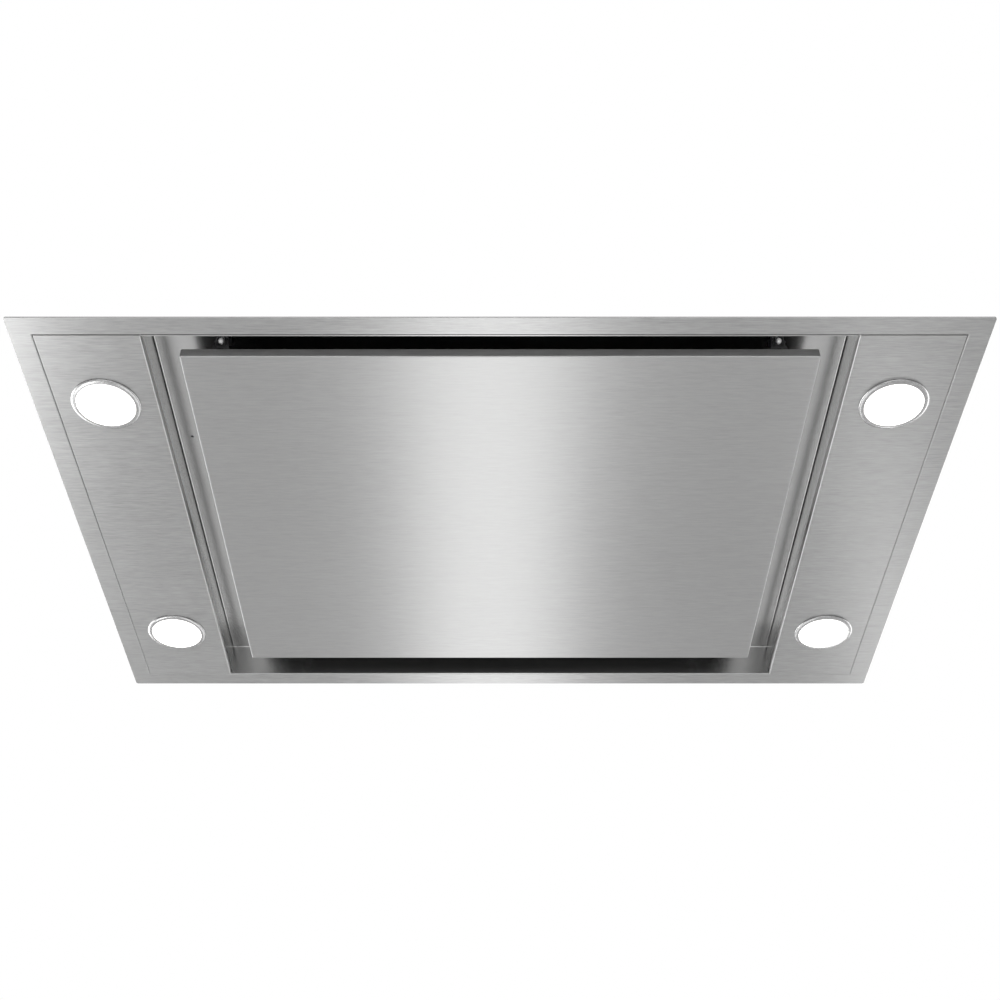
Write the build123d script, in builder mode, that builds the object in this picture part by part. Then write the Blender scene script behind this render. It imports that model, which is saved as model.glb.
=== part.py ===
"""Flush ceiling range hood with a drop-down suction panel.

X runs along the hood, +Y away from the near side seen in use, +Z up. The origin is the centre of
the footprint at the lowest level, which is the underside of the lamp bezels. Millimetres.
"""

from build123d import *
import math
import os

os.makedirs("parts", exist_ok=True)

# ---------------------------------------------------------------- driving sizes
# Visible face
frame_length = 900.0
frame_width = 600.0
frame_corner = 2.5
flange_strip = 21.0
face_sheet = 1.5
collar_height = 12.0
bend_radius = 1.2
edge_break = 0.4
reveal = 0.6
bezel_proud = 2.5

# Light panels
light_width = 98.4
light_fold = 10.0
light_inner_fold = 8.0

# Recess tray
recess_depth = 40.0
tray_sheet = 1.0
tray_play = 0.2
tray_lip = 12.0
tray_bend = 1.5
receiver_inset = 12.0
receiver_set = 177.0
receiver_hole_r = 1.6
receiver_play = 0.1

# Centre panel
slot_width = 30.0
panel_inset = 3.3
panel_depth = 10.0
panel_sheet = 1.2
panel_corner = 1.5
backing_sheet = 1.0
backing_play = 0.2

# Catches on the panel's front edge
catch_inset = 37.0
catch_setback = 2.0
catch_plate = 1.5
catch_height = 10.0
catch_arch_r = 6.5
catch_window_r = 4.0
catch_leg_half = 9.0
catch_foot_half = 16.0
catch_foot_depth = 10.0
catch_foot_sheet = 1.2
catch_foot_round = 0.75
catch_screw_x = 11.4
catch_screw_set = 6.0
ball_r = 2.8
ball_reach = 3.4
ball_stem_r = 1.2
ball_head_r = 2.2
ball_head = 1.0
stem_play = 0.1
clip_play = 0.3
clip_setback = 0.8
clip_sheet = 0.8
clip_leg_depth = 5.6
clip_base_depth = 24.0
clip_base_half = 6.0
clip_flare = 1.4

# Rear hinges of the panel
hinge_inset = 43.0
hinge_setback = 9.0
hinge_rise = 10.7
hinge_pin_r = 2.0
hinge_play = 0.05
knuckle_r = 4.5
knuckle_width = 14.0
hinge_side_play = 0.5
ear_sheet = 2.0
ear_depth = 10.0
hinge_base_depth = 16.0
hinge_base_half = 19.5
hinge_screw_x = 14.8
arm_foot = 30.0
arm_sheet = 2.0
arm_web = 5.0
arm_screw_set = 12.0
arm_screw_pitch = 12.0
pin_head_r = 3.2
pin_head = 1.0

# Grease filters
window_side = 80.0
window_end = 79.0
window_bar = 20.0
filter_play = 0.5
filter_height = 9.0
filter_rail = 12.0
filter_skin = 1.0
mesh_thickness = 6.0
mesh_bite = 8.0
mesh_play = 0.2
mesh_hole = 6.0
mesh_columns = 12
mesh_rows = 18
hook_width = 20.0
hook_reach = 4.5
hook_sheet = 2.0
hook_x = 70.0
seal_height = 2.0

# Filter latches
latch_travel = 6.0
latch_width = 30.0
latch_length = 14.0
latch_height = 3.0
latch_play = 0.15
latch_wall = 1.5
bolt_width = 16.0
bolt_reach = 3.5
grip_width = 20.0
grip_depth = 4.0
grip_drop = 6.0
grip_round = 0.8
latch_house_width = 44.0
latch_house_depth = 36.0
latch_spring_r = 1.1
latch_wire = 0.5
latch_spring_turns = 8
latch_spring_length = 12.0

# Plenum frame and low housing
plenum_height = 20.0
plenum_sheet = 1.0
plenum_margin = 12.0
plenum_flange = 12.0
base_sheet = 1.0

# Fan casing
casing_margin = 18.0
casing_height = 190.0
casing_sheet = 1.0
casing_flange = 12.0
cover_sheet = 1.0
cover_corner = 2.5

# Ceiling fixing
seal_strip = 11.0
seal_inset = 4.0
ceiling_seal_height = 3.0
hanger_inset_x = 41.5
hanger_inset_y = 31.5
hanger_width = 26.0
hanger_foot = 18.0
hanger_rise = 40.0
hanger_sheet = 2.5
hanger_slot_r = 4.25
hanger_slot_length = 20.0
hanger_screw_spacing = 15.0

# Lamps
lamp_inset = 48.4
lamp_end = 88.4
lamp_hole_r = 30.1
bezel_r = 33.5
bezel_rim = 1.0
bezel_crest = 0.6
lens_window_r = 28.5
lens_set = 0.2
lens_lip = 2.0
lens_thickness = 2.0
neck_r = 29.8
neck_bore_r = 29.0
neck_height = 14.0
lamp_play = 0.1
board_r = 26.0
board_sheet = 1.6
board_gap = 5.0
body_height = 21.0
fin_count = 16
fin_gap = 3.0
fin_depth = 8.0
fin_height = 15.0
leaf_width = 8.0
leaf_sheet = 0.6
leaf_reach = 12.0
leaf_pad = 7.0

# Blower
blower_x = -40.0
blower_y = 30.0
blower_level = 48.0
blower_sheet = 1.5
blower_edge = 12.0
inlet_r = 82.0
inlet_round = 6.0
inlet_height = 16.0
inlet_lap = 7.0
inlet_flange = 8.0
wheel_r = 100.0
wheel_height = 95.0
wheel_gap = 10.0
wheel_disc = 2.0
wheel_eye_gap = 2.5
wheel_ring_height = 3.0
wheel_cup_r = 58.0
wheel_cup_depth = 58.0
wheel_hub_r = 10.0
wheel_hub_height = 14.0
blade_count = 36
blade_sheet = 1.0
blade_bow = 3.5
blade_lead = 8.0
scroll_wall = 2.0
scroll_cutoff_r = 112.0
scroll_growth = 63.0
scroll_tongue_deg = -35.0
scroll_exit_deg = 270.0
scroll_points = 12
scroll_lip = 10.0
scroll_screw_degs = (35.0, 115.0, 190.0, 245.0)

# Fan motor
motor_r = 45.0
motor_wall = 2.0
motor_floor = 2.5
motor_hole_play = 4.0
motor_sink = 4.0
bracket_r = 63.0
bracket_sheet = 2.5
mount_r = 6.0
mount_height = 4.0
mount_circle_r = 57.0
shaft_r = 4.0
shaft_play = 0.02
bearing_r = 11.0
bearing_width = 7.0
bearing_boss = 3.0
rotor_r = 26.0
rotor_gap = 0.6
rotor_clear = 4.0
stator_height = 30.0
coil_inner_r = 29.0
coil_outer_r = 41.0
coil_rise = 5.0
stator_play = 0.05

# Duct outlet
duct_r = 75.0
duct_wall = 2.0
duct_length = 60.0
duct_drop = 4.0
duct_flange_r = 84.5
duct_flange = 2.5
duct_screw_r = 79.8
damper_set = 21.5
damper_pin_r = 1.5
damper_play = 0.05
damper_sheet = 1.2
damper_offset = 0.5
damper_edge = 4.0
damper_rim = 1.5
damper_knuckle_r = 3.2
damper_knuckle = 12.0
damper_front_z = (-50.0, 24.0)
damper_rear_z = (-24.0, 50.0)
seat_width = 5.0
seat_depth = 2.0
seat_gap = 0.3
seat_bar = 9.0

# Electrics on top of the low housing
control_inset = 71.5
control_length = 90.0
control_width = 160.0
control_height = 45.0
control_wall = 2.0
pcb_length = 70.0
pcb_width = 92.0
pcb_y = -26.0
pcb_sheet = 1.6
pcb_rise = 6.0
pcb_post_r = 3.0
pcb_post_x = 28.0
pcb_post_y = 37.0
terminal_length = 56.0
terminal_width = 14.0
terminal_y = 7.0
relay_length = 21.0
relay_width = 28.0
relay_x = -15.5
choke_length = 18.0
choke_width = 20.0
choke_x = 15.5
board_part_y = -49.0
board_part_height = 12.0
capacitor_r = 14.0
capacitor_length = 60.0
capacitor_y = 50.0
capacitor_saddle = 1.0
saddle_length = 30.0
saddle_width = 14.0
driver_shift = 15.0
driver_inset = 116.5
driver_length = 32.0
driver_width = 100.0
driver_height = 22.0
driver_corner = 2.5
gland_y = 30.0
gland_rise = 24.0
gland_bore_r = 4.2
gland_body_r = 8.0
gland_nut_r = 11.0
gland_nut = 5.0
gland_outside = 18.0
gland_play = 0.1
receiver_body = 12.0
receiver_height = 8.0
cable_r = 1.5
cable_bend_r = 8.0
cable_lane = 5.0
cable_level = 11.0
cable_hole_r = 2.5
lead_r = 2.5
lead_hole_r = 3.5
lead_entry_r = 3.0
lead_inset = 13.0
lead_rise = 12.0

# Fasteners
screw_r = 2.0
screw_hole_r = 2.15
screw_length = 8.0
screw_head_r = 3.8
screw_head = 2.4
screw_drive_r = 1.3
screw_drive_depth = 1.2

# ---------------------------------------------------------------- derived levels and places
face_z = bezel_proud
flange_top = face_z + face_sheet
ceiling_z = face_z + recess_depth
tray_top = ceiling_z + tray_sheet
panel_z = face_z + panel_inset
panel_top = panel_z + panel_depth
base_plate_z = tray_top + plenum_height
base_top = base_plate_z + base_sheet
casing_top = base_top + casing_height
blower_z = base_top + blower_level
blower_top = blower_z + blower_sheet

opening_length = frame_length - 2 * flange_strip
opening_width = frame_width - 2 * flange_strip
light_outer = opening_length / 2 - reveal
light_inner = light_outer - light_width
light_length = opening_width - 2 * reveal
tray_half_x = light_inner + face_sheet + tray_play
tray_half_y = opening_width / 2 - reveal - tray_sheet
panel_length = 2 * (light_inner - slot_width)
panel_width = opening_width - 2 * slot_width
panel_front_y = -panel_width / 2
panel_rear_y = panel_width / 2
lamp_x = light_outer - lamp_inset
lamp_y = light_length / 2 - lamp_end
receiver_x = receiver_inset - light_inner
receiver_y = receiver_set - opening_width / 2

hinge_x = panel_length / 2 - hinge_inset
hinge_y = panel_rear_y - hinge_setback
hinge_z = panel_top + hinge_rise
catch_x = panel_length / 2 - catch_inset
catch_y = panel_front_y + catch_setback
ball_y = catch_y - ball_reach
ball_z = panel_top + catch_height
catch_screw_y = catch_y + catch_screw_set
clip_y = catch_y - clip_setback - clip_leg_depth / 2
clip_screw_y = clip_y + clip_base_depth / 2

window_length = light_inner - window_side - window_bar / 2
window_width = opening_width - 2 * window_end
window_x = (window_bar + window_length) / 2
filter_length = window_length - 2 * filter_play
filter_width = window_width - 2 * filter_play
filter_top = ceiling_z + filter_height
filter_front_y = -filter_width / 2
ledge_z = filter_top + seal_height
plenum_half_x = window_bar / 2 + window_length + plenum_margin
plenum_half_y = window_width / 2 + plenum_margin
casing_length = 2 * (plenum_half_x + casing_margin)
casing_width = 2 * (plenum_half_y + casing_margin)

base_half_x = opening_length / 2 + face_sheet + base_sheet
base_half_y = opening_width / 2 + face_sheet + base_sheet
hanger_x = base_half_x - hanger_inset_x
hanger_y = base_half_y - hanger_inset_y

neck_top = face_z + neck_height
body_z = lens_lip + lens_thickness + board_gap + board_sheet
body_top = neck_top + body_height

wheel_z = blower_z + inlet_height - inlet_lap
wheel_eye_r = inlet_r + blower_sheet + wheel_eye_gap
wheel_top = wheel_z + wheel_height
cup_floor = wheel_top - wheel_cup_depth
scroll_inner_top = wheel_top + wheel_gap
scroll_top = scroll_inner_top + scroll_wall
bracket_z = scroll_top + mount_height
motor_z = cup_floor + wheel_disc + motor_sink
lower_bearing_z = motor_z + motor_floor
upper_bearing_z = bracket_z - bearing_width
mouth_x = casing_length / 2 - casing_sheet
mouth_inner_y = blower_y + scroll_cutoff_r * math.sin(math.radians(scroll_tongue_deg))
mouth_outer_y = blower_y - scroll_cutoff_r - scroll_growth
duct_y = (mouth_inner_y + mouth_outer_y) / 2
duct_z = (blower_top + scroll_inner_top) / 2 - duct_drop
duct_x = casing_length / 2
damper_x = duct_x + damper_set

control_x = control_inset - base_half_x
control_end_x = control_x - control_length / 2
gland_z = base_top + gland_rise
lead_x = lead_inset - casing_length / 2
cable_z = tray_top + cable_level
driver_x = control_x + driver_shift
driver_y = base_half_y - driver_inset
driver_end = driver_y - driver_width / 2
trunk_y = driver_end - cable_bend_r - cable_lane / 2
cross_y = cable_lane * 2 - tray_half_y

signs = (-1, 1)
sides = {"left": -1, "right": 1}
lamp_places = {
    "front_left": (-lamp_x, -lamp_y),
    "front_right": (lamp_x, -lamp_y),
    "rear_left": (-lamp_x, lamp_y),
    "rear_right": (lamp_x, lamp_y),
}
lane_middle = (len(lamp_places) - 1) / 2
lane_x = [driver_x + cable_lane * (lane_middle - lane) for lane in range(len(lamp_places))]


# ---------------------------------------------------------------- shared shapes
def panel_sketch(z, length, width, corner=0.0):
    """Rectangle centred on the origin at level z."""
    with BuildSketch(Plane.XY.offset(z)) as sheet:
        if corner:
            RectangleRounded(length, width, corner)
        else:
            Rectangle(length, width)
    return sheet.sketch


def ring_sketch(z, outer_half_x, outer_half_y, inner_half_x, inner_half_y):
    """Rectangular ring at level z, given by its half sizes."""
    with BuildSketch(Plane.XY.offset(z)) as ring:
        Rectangle(2 * outer_half_x, 2 * outer_half_y)
        Rectangle(2 * inner_half_x, 2 * inner_half_y, mode=Mode.SUBTRACT)
    return ring.sketch


def block_sketch(z, x_low, x_high, y_low, y_high):
    """Rectangle at level z between the given limits."""
    with BuildSketch(Plane.XY.offset(z)) as block:
        with Locations(((x_low + x_high) / 2, (y_low + y_high) / 2)):
            Rectangle(x_high - x_low, y_high - y_low)
    return block.sketch


def upright(x, y, z=0.0):
    """Plane through a vertical axis: local x is +X, local y is +Z from level z."""
    return Plane(origin=(x, y, z), x_dir=(1, 0, 0), z_dir=(0, -1, 0))


def crosswise(x, y, z=0.0):
    """Plane square to X: local x is +Y, local y is +Z from level z."""
    return Plane(origin=(x, y, z), x_dir=(0, 1, 0), z_dir=(1, 0, 0))


def spiral(angle_deg, outset=0.0):
    """Point of the volute's inner wall, moved out by outset."""
    share = (angle_deg - scroll_tongue_deg) / (scroll_exit_deg - scroll_tongue_deg)
    radius = scroll_cutoff_r + scroll_growth * share + outset
    turn = math.radians(angle_deg)
    return (blower_x + radius * math.cos(turn), blower_y + radius * math.sin(turn))


# Screw seats: x, y and the level under the head
casing_screw_x = casing_length / 2 + casing_flange / 2
casing_screw_y = casing_width / 2 + casing_flange / 2
casing_screws = [(x * casing_screw_x, y * casing_width / 4) for x in signs for y in signs]
casing_screws += [(x * casing_length / 4, y * casing_screw_y) for x in signs for y in signs]
cover_screws = [
    (x * (casing_length / 2 - casing_flange / 2), y * casing_width / 3) for x in signs for y in signs
]
cover_screws += [(0, y * (casing_width / 2 - casing_flange / 2)) for y in signs]
scroll_screws = [spiral(a, (scroll_wall + scroll_lip) / 2) for a in scroll_screw_degs]
mount_places = [
    (
        blower_x + mount_circle_r * math.cos(math.radians(a)),
        blower_y + mount_circle_r * math.sin(math.radians(a)),
    )
    for a in (90, 210, 330)
]
hanger_places = [(x * hanger_x, y * hanger_y) for x in signs for y in signs]
hanger_screw_inset = (hanger_width + hanger_foot + hanger_sheet) / 2
hanger_screws = [
    (x + s * hanger_screw_spacing / 2, y - math.copysign(hanger_screw_inset, y))
    for x, y in hanger_places
    for s in signs
]
hinge_screws = [(s * hinge_x + t * hinge_screw_x, hinge_y) for s in signs for t in signs]
clip_screws = [(s * catch_x, clip_screw_y) for s in signs]
duct_screws = [
    (duct_y + duct_screw_r * math.cos(math.radians(a)), duct_z + duct_screw_r * math.sin(math.radians(a)))
    for a in (0, 90, 180, 270)
]

# ---------------------------------------------------------------- face frame
with BuildPart() as face_frame:
    extrude(panel_sketch(face_z, frame_length, frame_width, frame_corner), amount=face_sheet)
    extrude(
        panel_sketch(face_z, opening_length + 2 * face_sheet, opening_width + 2 * face_sheet),
        amount=collar_height,
    )
    extrude(
        panel_sketch(face_z, opening_length, opening_width),
        amount=collar_height,
        mode=Mode.SUBTRACT,
    )
    face = face_frame.faces().sort_by(Axis.Z)[0]
    fillet(face.inner_wires()[0].edges(), radius=bend_radius)
    face = face_frame.faces().sort_by(Axis.Z)[0]
    fillet(face.outer_wire().edges(), radius=edge_break)
face_frame.part.label = "face_frame"
export_step(face_frame.part, "parts/face_frame.step")

# ---------------------------------------------------------------- light panels
for side, sign in sides.items():
    with BuildPart() as light_panel:
        with BuildSketch(Plane.XY.offset(face_z)):
            with Locations((sign * (light_inner + light_outer) / 2, 0)):
                Rectangle(light_width, light_length)
            with Locations((sign * lamp_x, -lamp_y), (sign * lamp_x, lamp_y)):
                Circle(lamp_hole_r, mode=Mode.SUBTRACT)
        extrude(amount=face_sheet)
        outline = light_panel.faces().sort_by(Axis.Z)[0].outer_wire().edges()
        with BuildSketch(Plane.XY.offset(flange_top)):
            with Locations((sign * (light_outer - face_sheet / 2), 0)):
                Rectangle(face_sheet, light_length)
            end_fold_start = tray_half_x + tray_sheet + reveal
            end_fold = light_outer - end_fold_start
            end_fold_y = (light_length - face_sheet) / 2
            with Locations(
                (sign * (end_fold_start + end_fold / 2), -end_fold_y),
                (sign * (end_fold_start + end_fold / 2), end_fold_y),
            ):
                Rectangle(end_fold, face_sheet)
        extrude(amount=light_fold - face_sheet)
        with BuildSketch(Plane.XY.offset(flange_top)):
            with Locations((sign * (light_inner + face_sheet / 2), 0)):
                Rectangle(face_sheet, 2 * (tray_half_y - reveal))
        extrude(amount=light_inner_fold - face_sheet)
        fillet(outline, radius=bend_radius)
    light_panel.part.label = f"light_panel_{side}"
    export_step(light_panel.part, f"parts/light_panel_{side}.step")

# ---------------------------------------------------------------- recess tray
with BuildPart() as recess_tray:
    extrude(
        panel_sketch(flange_top, 2 * (tray_half_x + tray_sheet), 2 * (tray_half_y + tray_sheet)),
        amount=tray_top - flange_top,
    )
    extrude(
        panel_sketch(flange_top, 2 * tray_half_x, 2 * tray_half_y),
        amount=ceiling_z - flange_top,
        mode=Mode.SUBTRACT,
    )
    ceiling = recess_tray.faces().filter_by(Axis.Z).sort_by(Axis.Z)[-2]
    fillet(ceiling.outer_wire().edges(), radius=tray_bend)
    with BuildSketch(Plane.XY.offset(face_z + edge_break)):
        with Locations((0, -tray_half_y - tray_sheet / 2), (0, tray_half_y + tray_sheet / 2)):
            Rectangle(2 * (light_inner - reveal), tray_sheet)
    extrude(amount=face_sheet)
    with BuildSketch(Plane.XY.offset(flange_top)):
        lip_x = tray_half_x + tray_sheet + tray_lip / 2
        with Locations((-lip_x, 0), (lip_x, 0)):
            Rectangle(tray_lip, light_length - 2 * face_sheet - 2 * reveal)
    extrude(amount=tray_sheet)
    with BuildSketch(Plane.XY.offset(ceiling_z)):
        with Locations((-window_x, 0), (window_x, 0)):
            Rectangle(window_length, window_width)
        with Locations((receiver_x, receiver_y)):
            Circle(receiver_hole_r)
        with Locations(*hinge_screws, *clip_screws):
            Circle(screw_hole_r)
    extrude(amount=tray_sheet, mode=Mode.SUBTRACT)
recess_tray.part.label = "recess_tray"
export_step(recess_tray.part, "parts/recess_tray.step")

# ---------------------------------------------------------------- plenum frame
with BuildPart() as plenum_frame:
    outer_x = plenum_half_x + plenum_sheet
    outer_y = plenum_half_y + plenum_sheet
    extrude(ring_sketch(tray_top, outer_x, outer_y, plenum_half_x, plenum_half_y), amount=plenum_height)
    for level in (tray_top, base_plate_z - plenum_sheet):
        extrude(
            ring_sketch(
                level,
                outer_x + plenum_flange,
                outer_y + plenum_flange,
                plenum_half_x,
                plenum_half_y,
            ),
            amount=plenum_sheet,
        )
plenum_frame.part.label = "plenum_frame"
export_step(plenum_frame.part, "parts/plenum_frame.step")

# ---------------------------------------------------------------- filter ledge
ledge_half_x = plenum_half_x - plenum_margin - filter_rail
ledge_half_y = plenum_half_y - plenum_margin - filter_rail
ledge_bar = window_bar / 2 + filter_rail
with BuildPart() as filter_ledge:
    with BuildSketch(Plane.XY.offset(ledge_z)):
        Rectangle(2 * plenum_half_x, 2 * plenum_half_y)
        with Locations(((ledge_half_x + ledge_bar) / 2, 0), (-(ledge_half_x + ledge_bar) / 2, 0)):
            Rectangle(ledge_half_x - ledge_bar, 2 * ledge_half_y, mode=Mode.SUBTRACT)
    extrude(amount=plenum_sheet)
filter_ledge.part.label = "filter_ledge"
export_step(filter_ledge.part, "parts/filter_ledge.step")

# ---------------------------------------------------------------- filter seal
with BuildPart() as filter_seal:
    with BuildSketch(Plane.XY.offset(filter_top)):
        Rectangle(2 * (ledge_half_x + filter_rail), 2 * (ledge_half_y + filter_rail))
        with Locations(((ledge_half_x + ledge_bar) / 2, 0), (-(ledge_half_x + ledge_bar) / 2, 0)):
            Rectangle(ledge_half_x - ledge_bar, 2 * ledge_half_y, mode=Mode.SUBTRACT)
    extrude(amount=seal_height)
filter_seal.part.label = "filter_seal"
export_step(filter_seal.part, "parts/filter_seal.step")

# ---------------------------------------------------------------- grease filters and latches
latch_z = tray_top + latch_play
pocket_z = latch_z - latch_play / 2
pocket_height = latch_height + latch_play
wall_y = filter_front_y + latch_wall
pocket_end_y = filter_front_y + latch_house_depth - latch_wall
grip_y = wall_y + latch_length / 2 - grip_depth
spring_z = latch_z + latch_height / 2
mesh_z = ceiling_z + (filter_height - mesh_thickness) / 2

for side, sign in sides.items():
    centre_x = sign * window_x
    with BuildPart() as filter_frame:
        with BuildSketch(Plane.XY.offset(ceiling_z)):
            with Locations((centre_x, 0)):
                Rectangle(filter_length, filter_width)
                Rectangle(
                    filter_length - 2 * filter_rail,
                    filter_width - 2 * filter_rail,
                    mode=Mode.SUBTRACT,
                )
        extrude(amount=filter_height)
        with BuildSketch(Plane.XY.offset(mesh_z)):
            with Locations((centre_x, 0)):
                Rectangle(filter_length - 2 * filter_skin, filter_width - 2 * filter_skin)
        extrude(amount=mesh_thickness, mode=Mode.SUBTRACT)
        house = block_sketch(
            ceiling_z,
            centre_x - latch_house_width / 2,
            centre_x + latch_house_width / 2,
            filter_front_y,
            filter_front_y + latch_house_depth,
        )
        extrude(house, amount=filter_height)
        pocket = block_sketch(
            pocket_z,
            centre_x - latch_width / 2 - latch_play,
            centre_x + latch_width / 2 + latch_play,
            wall_y,
            pocket_end_y,
        )
        extrude(pocket, amount=pocket_height, mode=Mode.SUBTRACT)
        bolt_way = block_sketch(
            pocket_z,
            centre_x - bolt_width / 2 - latch_play,
            centre_x + bolt_width / 2 + latch_play,
            filter_front_y,
            wall_y,
        )
        extrude(bolt_way, amount=pocket_height, mode=Mode.SUBTRACT)
        grip_way = block_sketch(
            ceiling_z,
            centre_x - grip_width / 2 - latch_play,
            centre_x + grip_width / 2 + latch_play,
            grip_y - 2 * latch_play,
            grip_y + grip_depth + latch_travel + 2 * latch_play,
        )
        extrude(grip_way, amount=pocket_z - ceiling_z, mode=Mode.SUBTRACT)
        with BuildSketch(Plane.XY.offset(tray_top)):
            hook_y = filter_width / 2 + (hook_reach - filter_skin) / 2
            with Locations((centre_x - hook_x, hook_y), (centre_x + hook_x, hook_y)):
                Rectangle(hook_width, hook_reach + filter_skin)
        extrude(amount=hook_sheet)
    filter_frame.part.label = f"filter_frame_{side}"
    export_step(filter_frame.part, f"parts/filter_frame_{side}.step")

    with BuildPart() as filter_mesh:
        mesh_length = filter_length - 2 * (filter_rail - mesh_bite)
        mesh_width = filter_width - 2 * (filter_rail - mesh_bite)
        with BuildSketch(Plane.XY.offset(mesh_z)):
            with Locations((centre_x, 0)):
                Rectangle(mesh_length, mesh_width)
            mesh_pitch_x = (filter_length - 2 * filter_rail) / mesh_columns
            mesh_pitch_y = (filter_width - 2 * filter_rail) / mesh_rows
            with Locations((centre_x, 0)):
                with GridLocations(mesh_pitch_x, mesh_pitch_y, mesh_columns, mesh_rows):
                    Rectangle(mesh_pitch_x - mesh_hole, mesh_pitch_y - mesh_hole, mode=Mode.SUBTRACT)
        extrude(amount=mesh_thickness - mesh_play)
        notch = block_sketch(
            mesh_z,
            centre_x - latch_house_width / 2 - mesh_play,
            centre_x + latch_house_width / 2 + mesh_play,
            filter_front_y,
            filter_front_y + latch_house_depth + mesh_play,
        )
        extrude(notch, amount=mesh_thickness, mode=Mode.SUBTRACT)
    filter_mesh.part.label = f"filter_mesh_{side}"
    export_step(filter_mesh.part, f"parts/filter_mesh_{side}.step")

    with BuildPart() as filter_latch:
        slider = block_sketch(
            latch_z,
            centre_x - latch_width / 2,
            centre_x + latch_width / 2,
            wall_y,
            wall_y + latch_length,
        )
        extrude(slider, amount=latch_height - latch_play)
        bolt = block_sketch(
            latch_z,
            centre_x - bolt_width / 2,
            centre_x + bolt_width / 2,
            filter_front_y - bolt_reach - filter_play,
            wall_y,
        )
        extrude(bolt, amount=latch_height - latch_play)
        grip = block_sketch(
            ceiling_z - grip_drop,
            centre_x - grip_width / 2,
            centre_x + grip_width / 2,
            grip_y,
            grip_y + grip_depth,
        )
        extrude(grip, amount=grip_drop + latch_z - ceiling_z)
        lowest = filter_latch.faces().sort_by(Axis.Z)[0].edges()
        fillet(lowest, radius=grip_round)
    filter_latch.part.label = f"filter_latch_{side}"
    export_step(filter_latch.part, f"parts/filter_latch_{side}.step")

with BuildPart() as latch_springs:
    coil_length = latch_spring_length - latch_wire
    for sign in signs:
        coil_start = (sign * window_x, pocket_end_y - latch_wire / 2, spring_z)
        with BuildLine() as coil:
            Helix(
                coil_length / latch_spring_turns,
                coil_length,
                latch_spring_r,
                center=coil_start,
                direction=(0, -1, 0),
            )
        with BuildSketch(Plane(origin=coil.line @ 0, z_dir=coil.line % 0)):
            Circle(latch_wire / 2)
        sweep(path=coil.line, is_frenet=True)
latch_springs.part.label = "latch_springs"
export_step(latch_springs.part, "parts/latch_springs.step")

# ---------------------------------------------------------------- centre panel
with BuildPart() as centre_panel:
    extrude(panel_sketch(panel_z, panel_length, panel_width, panel_corner), amount=panel_depth)
    extrude(
        panel_sketch(panel_z + panel_sheet, panel_length - 2 * panel_sheet, panel_width - 2 * panel_sheet),
        amount=panel_depth - panel_sheet,
        mode=Mode.SUBTRACT,
    )
    lower = centre_panel.faces().sort_by(Axis.Z)[0].outer_wire().edges()
    fillet(lower, radius=bend_radius)
centre_panel.part.label = "centre_panel"
export_step(centre_panel.part, "parts/centre_panel.step")

catch_feet = [(s * catch_x + t * catch_screw_x, catch_screw_y) for s in signs for t in signs]
arm_screw_y = (hinge_y - arm_screw_set, hinge_y - arm_screw_set - arm_screw_pitch)
arm_screws = [(s * hinge_x, y) for s in signs for y in arm_screw_y]

with BuildPart() as panel_backing:
    backing_length = panel_length - 2 * panel_sheet - backing_play
    backing_width = panel_width - 2 * panel_sheet - backing_play
    extrude(
        panel_sketch(panel_z + panel_sheet, backing_length, backing_width),
        amount=panel_depth - panel_sheet,
    )
    extrude(
        panel_sketch(
            panel_z + panel_sheet,
            backing_length - 2 * backing_sheet,
            backing_width - 2 * backing_sheet,
        ),
        amount=panel_depth - panel_sheet - backing_sheet,
        mode=Mode.SUBTRACT,
    )
    with BuildSketch(Plane.XY.offset(panel_top)):
        with Locations(*catch_feet, *arm_screws):
            Circle(screw_hole_r)
    extrude(amount=-backing_sheet, mode=Mode.SUBTRACT)
panel_backing.part.label = "panel_backing"
export_step(panel_backing.part, "parts/panel_backing.step")

# ---------------------------------------------------------------- catches
with BuildPart() as catch_brackets:
    foot_y = catch_y + catch_foot_depth / 2
    foot_width = catch_foot_half - catch_window_r
    for sign in signs:
        with BuildSketch(upright(sign * catch_x, catch_y, panel_top)):
            with BuildLine():
                Line((catch_leg_half, 0), (-catch_leg_half, 0))
                Line((-catch_leg_half, 0), (-catch_arch_r, catch_height))
                ThreePointArc(
                    (-catch_arch_r, catch_height),
                    (0, catch_height + catch_arch_r),
                    (catch_arch_r, catch_height),
                )
                Line((catch_arch_r, catch_height), (catch_leg_half, 0))
            make_face()
            Circle(catch_window_r, mode=Mode.SUBTRACT)
            with Locations((0, catch_height)):
                Circle(ball_stem_r + stem_play, mode=Mode.SUBTRACT)
        extrude(amount=-catch_plate)
        with BuildSketch(Plane.XY.offset(panel_top)):
            with Locations(
                (sign * catch_x - catch_window_r - foot_width / 2, foot_y),
                (sign * catch_x + catch_window_r + foot_width / 2, foot_y),
            ):
                RectangleRounded(foot_width, catch_foot_depth, catch_foot_round)
            with Locations(
                (sign * catch_x - catch_screw_x, catch_screw_y),
                (sign * catch_x + catch_screw_x, catch_screw_y),
            ):
                Circle(screw_hole_r, mode=Mode.SUBTRACT)
        extrude(amount=catch_foot_sheet)
catch_brackets.part.label = "catch_brackets"
export_step(catch_brackets.part, "parts/catch_brackets.step")

with BuildPart() as catch_balls:
    for sign in signs:
        with Locations((sign * catch_x, ball_y, ball_z)):
            Sphere(ball_r)
        stem_start = Plane(origin=(sign * catch_x, ball_y, ball_z), x_dir=(1, 0, 0), z_dir=(0, 1, 0))
        with BuildSketch(stem_start):
            Circle(ball_stem_r)
        extrude(amount=ball_reach + catch_plate)
        with BuildSketch(stem_start.offset(ball_reach + catch_plate)):
            Circle(ball_head_r)
        extrude(amount=ball_head)
catch_balls.part.label = "catch_balls"
export_step(catch_balls.part, "parts/catch_balls.step")

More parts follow.
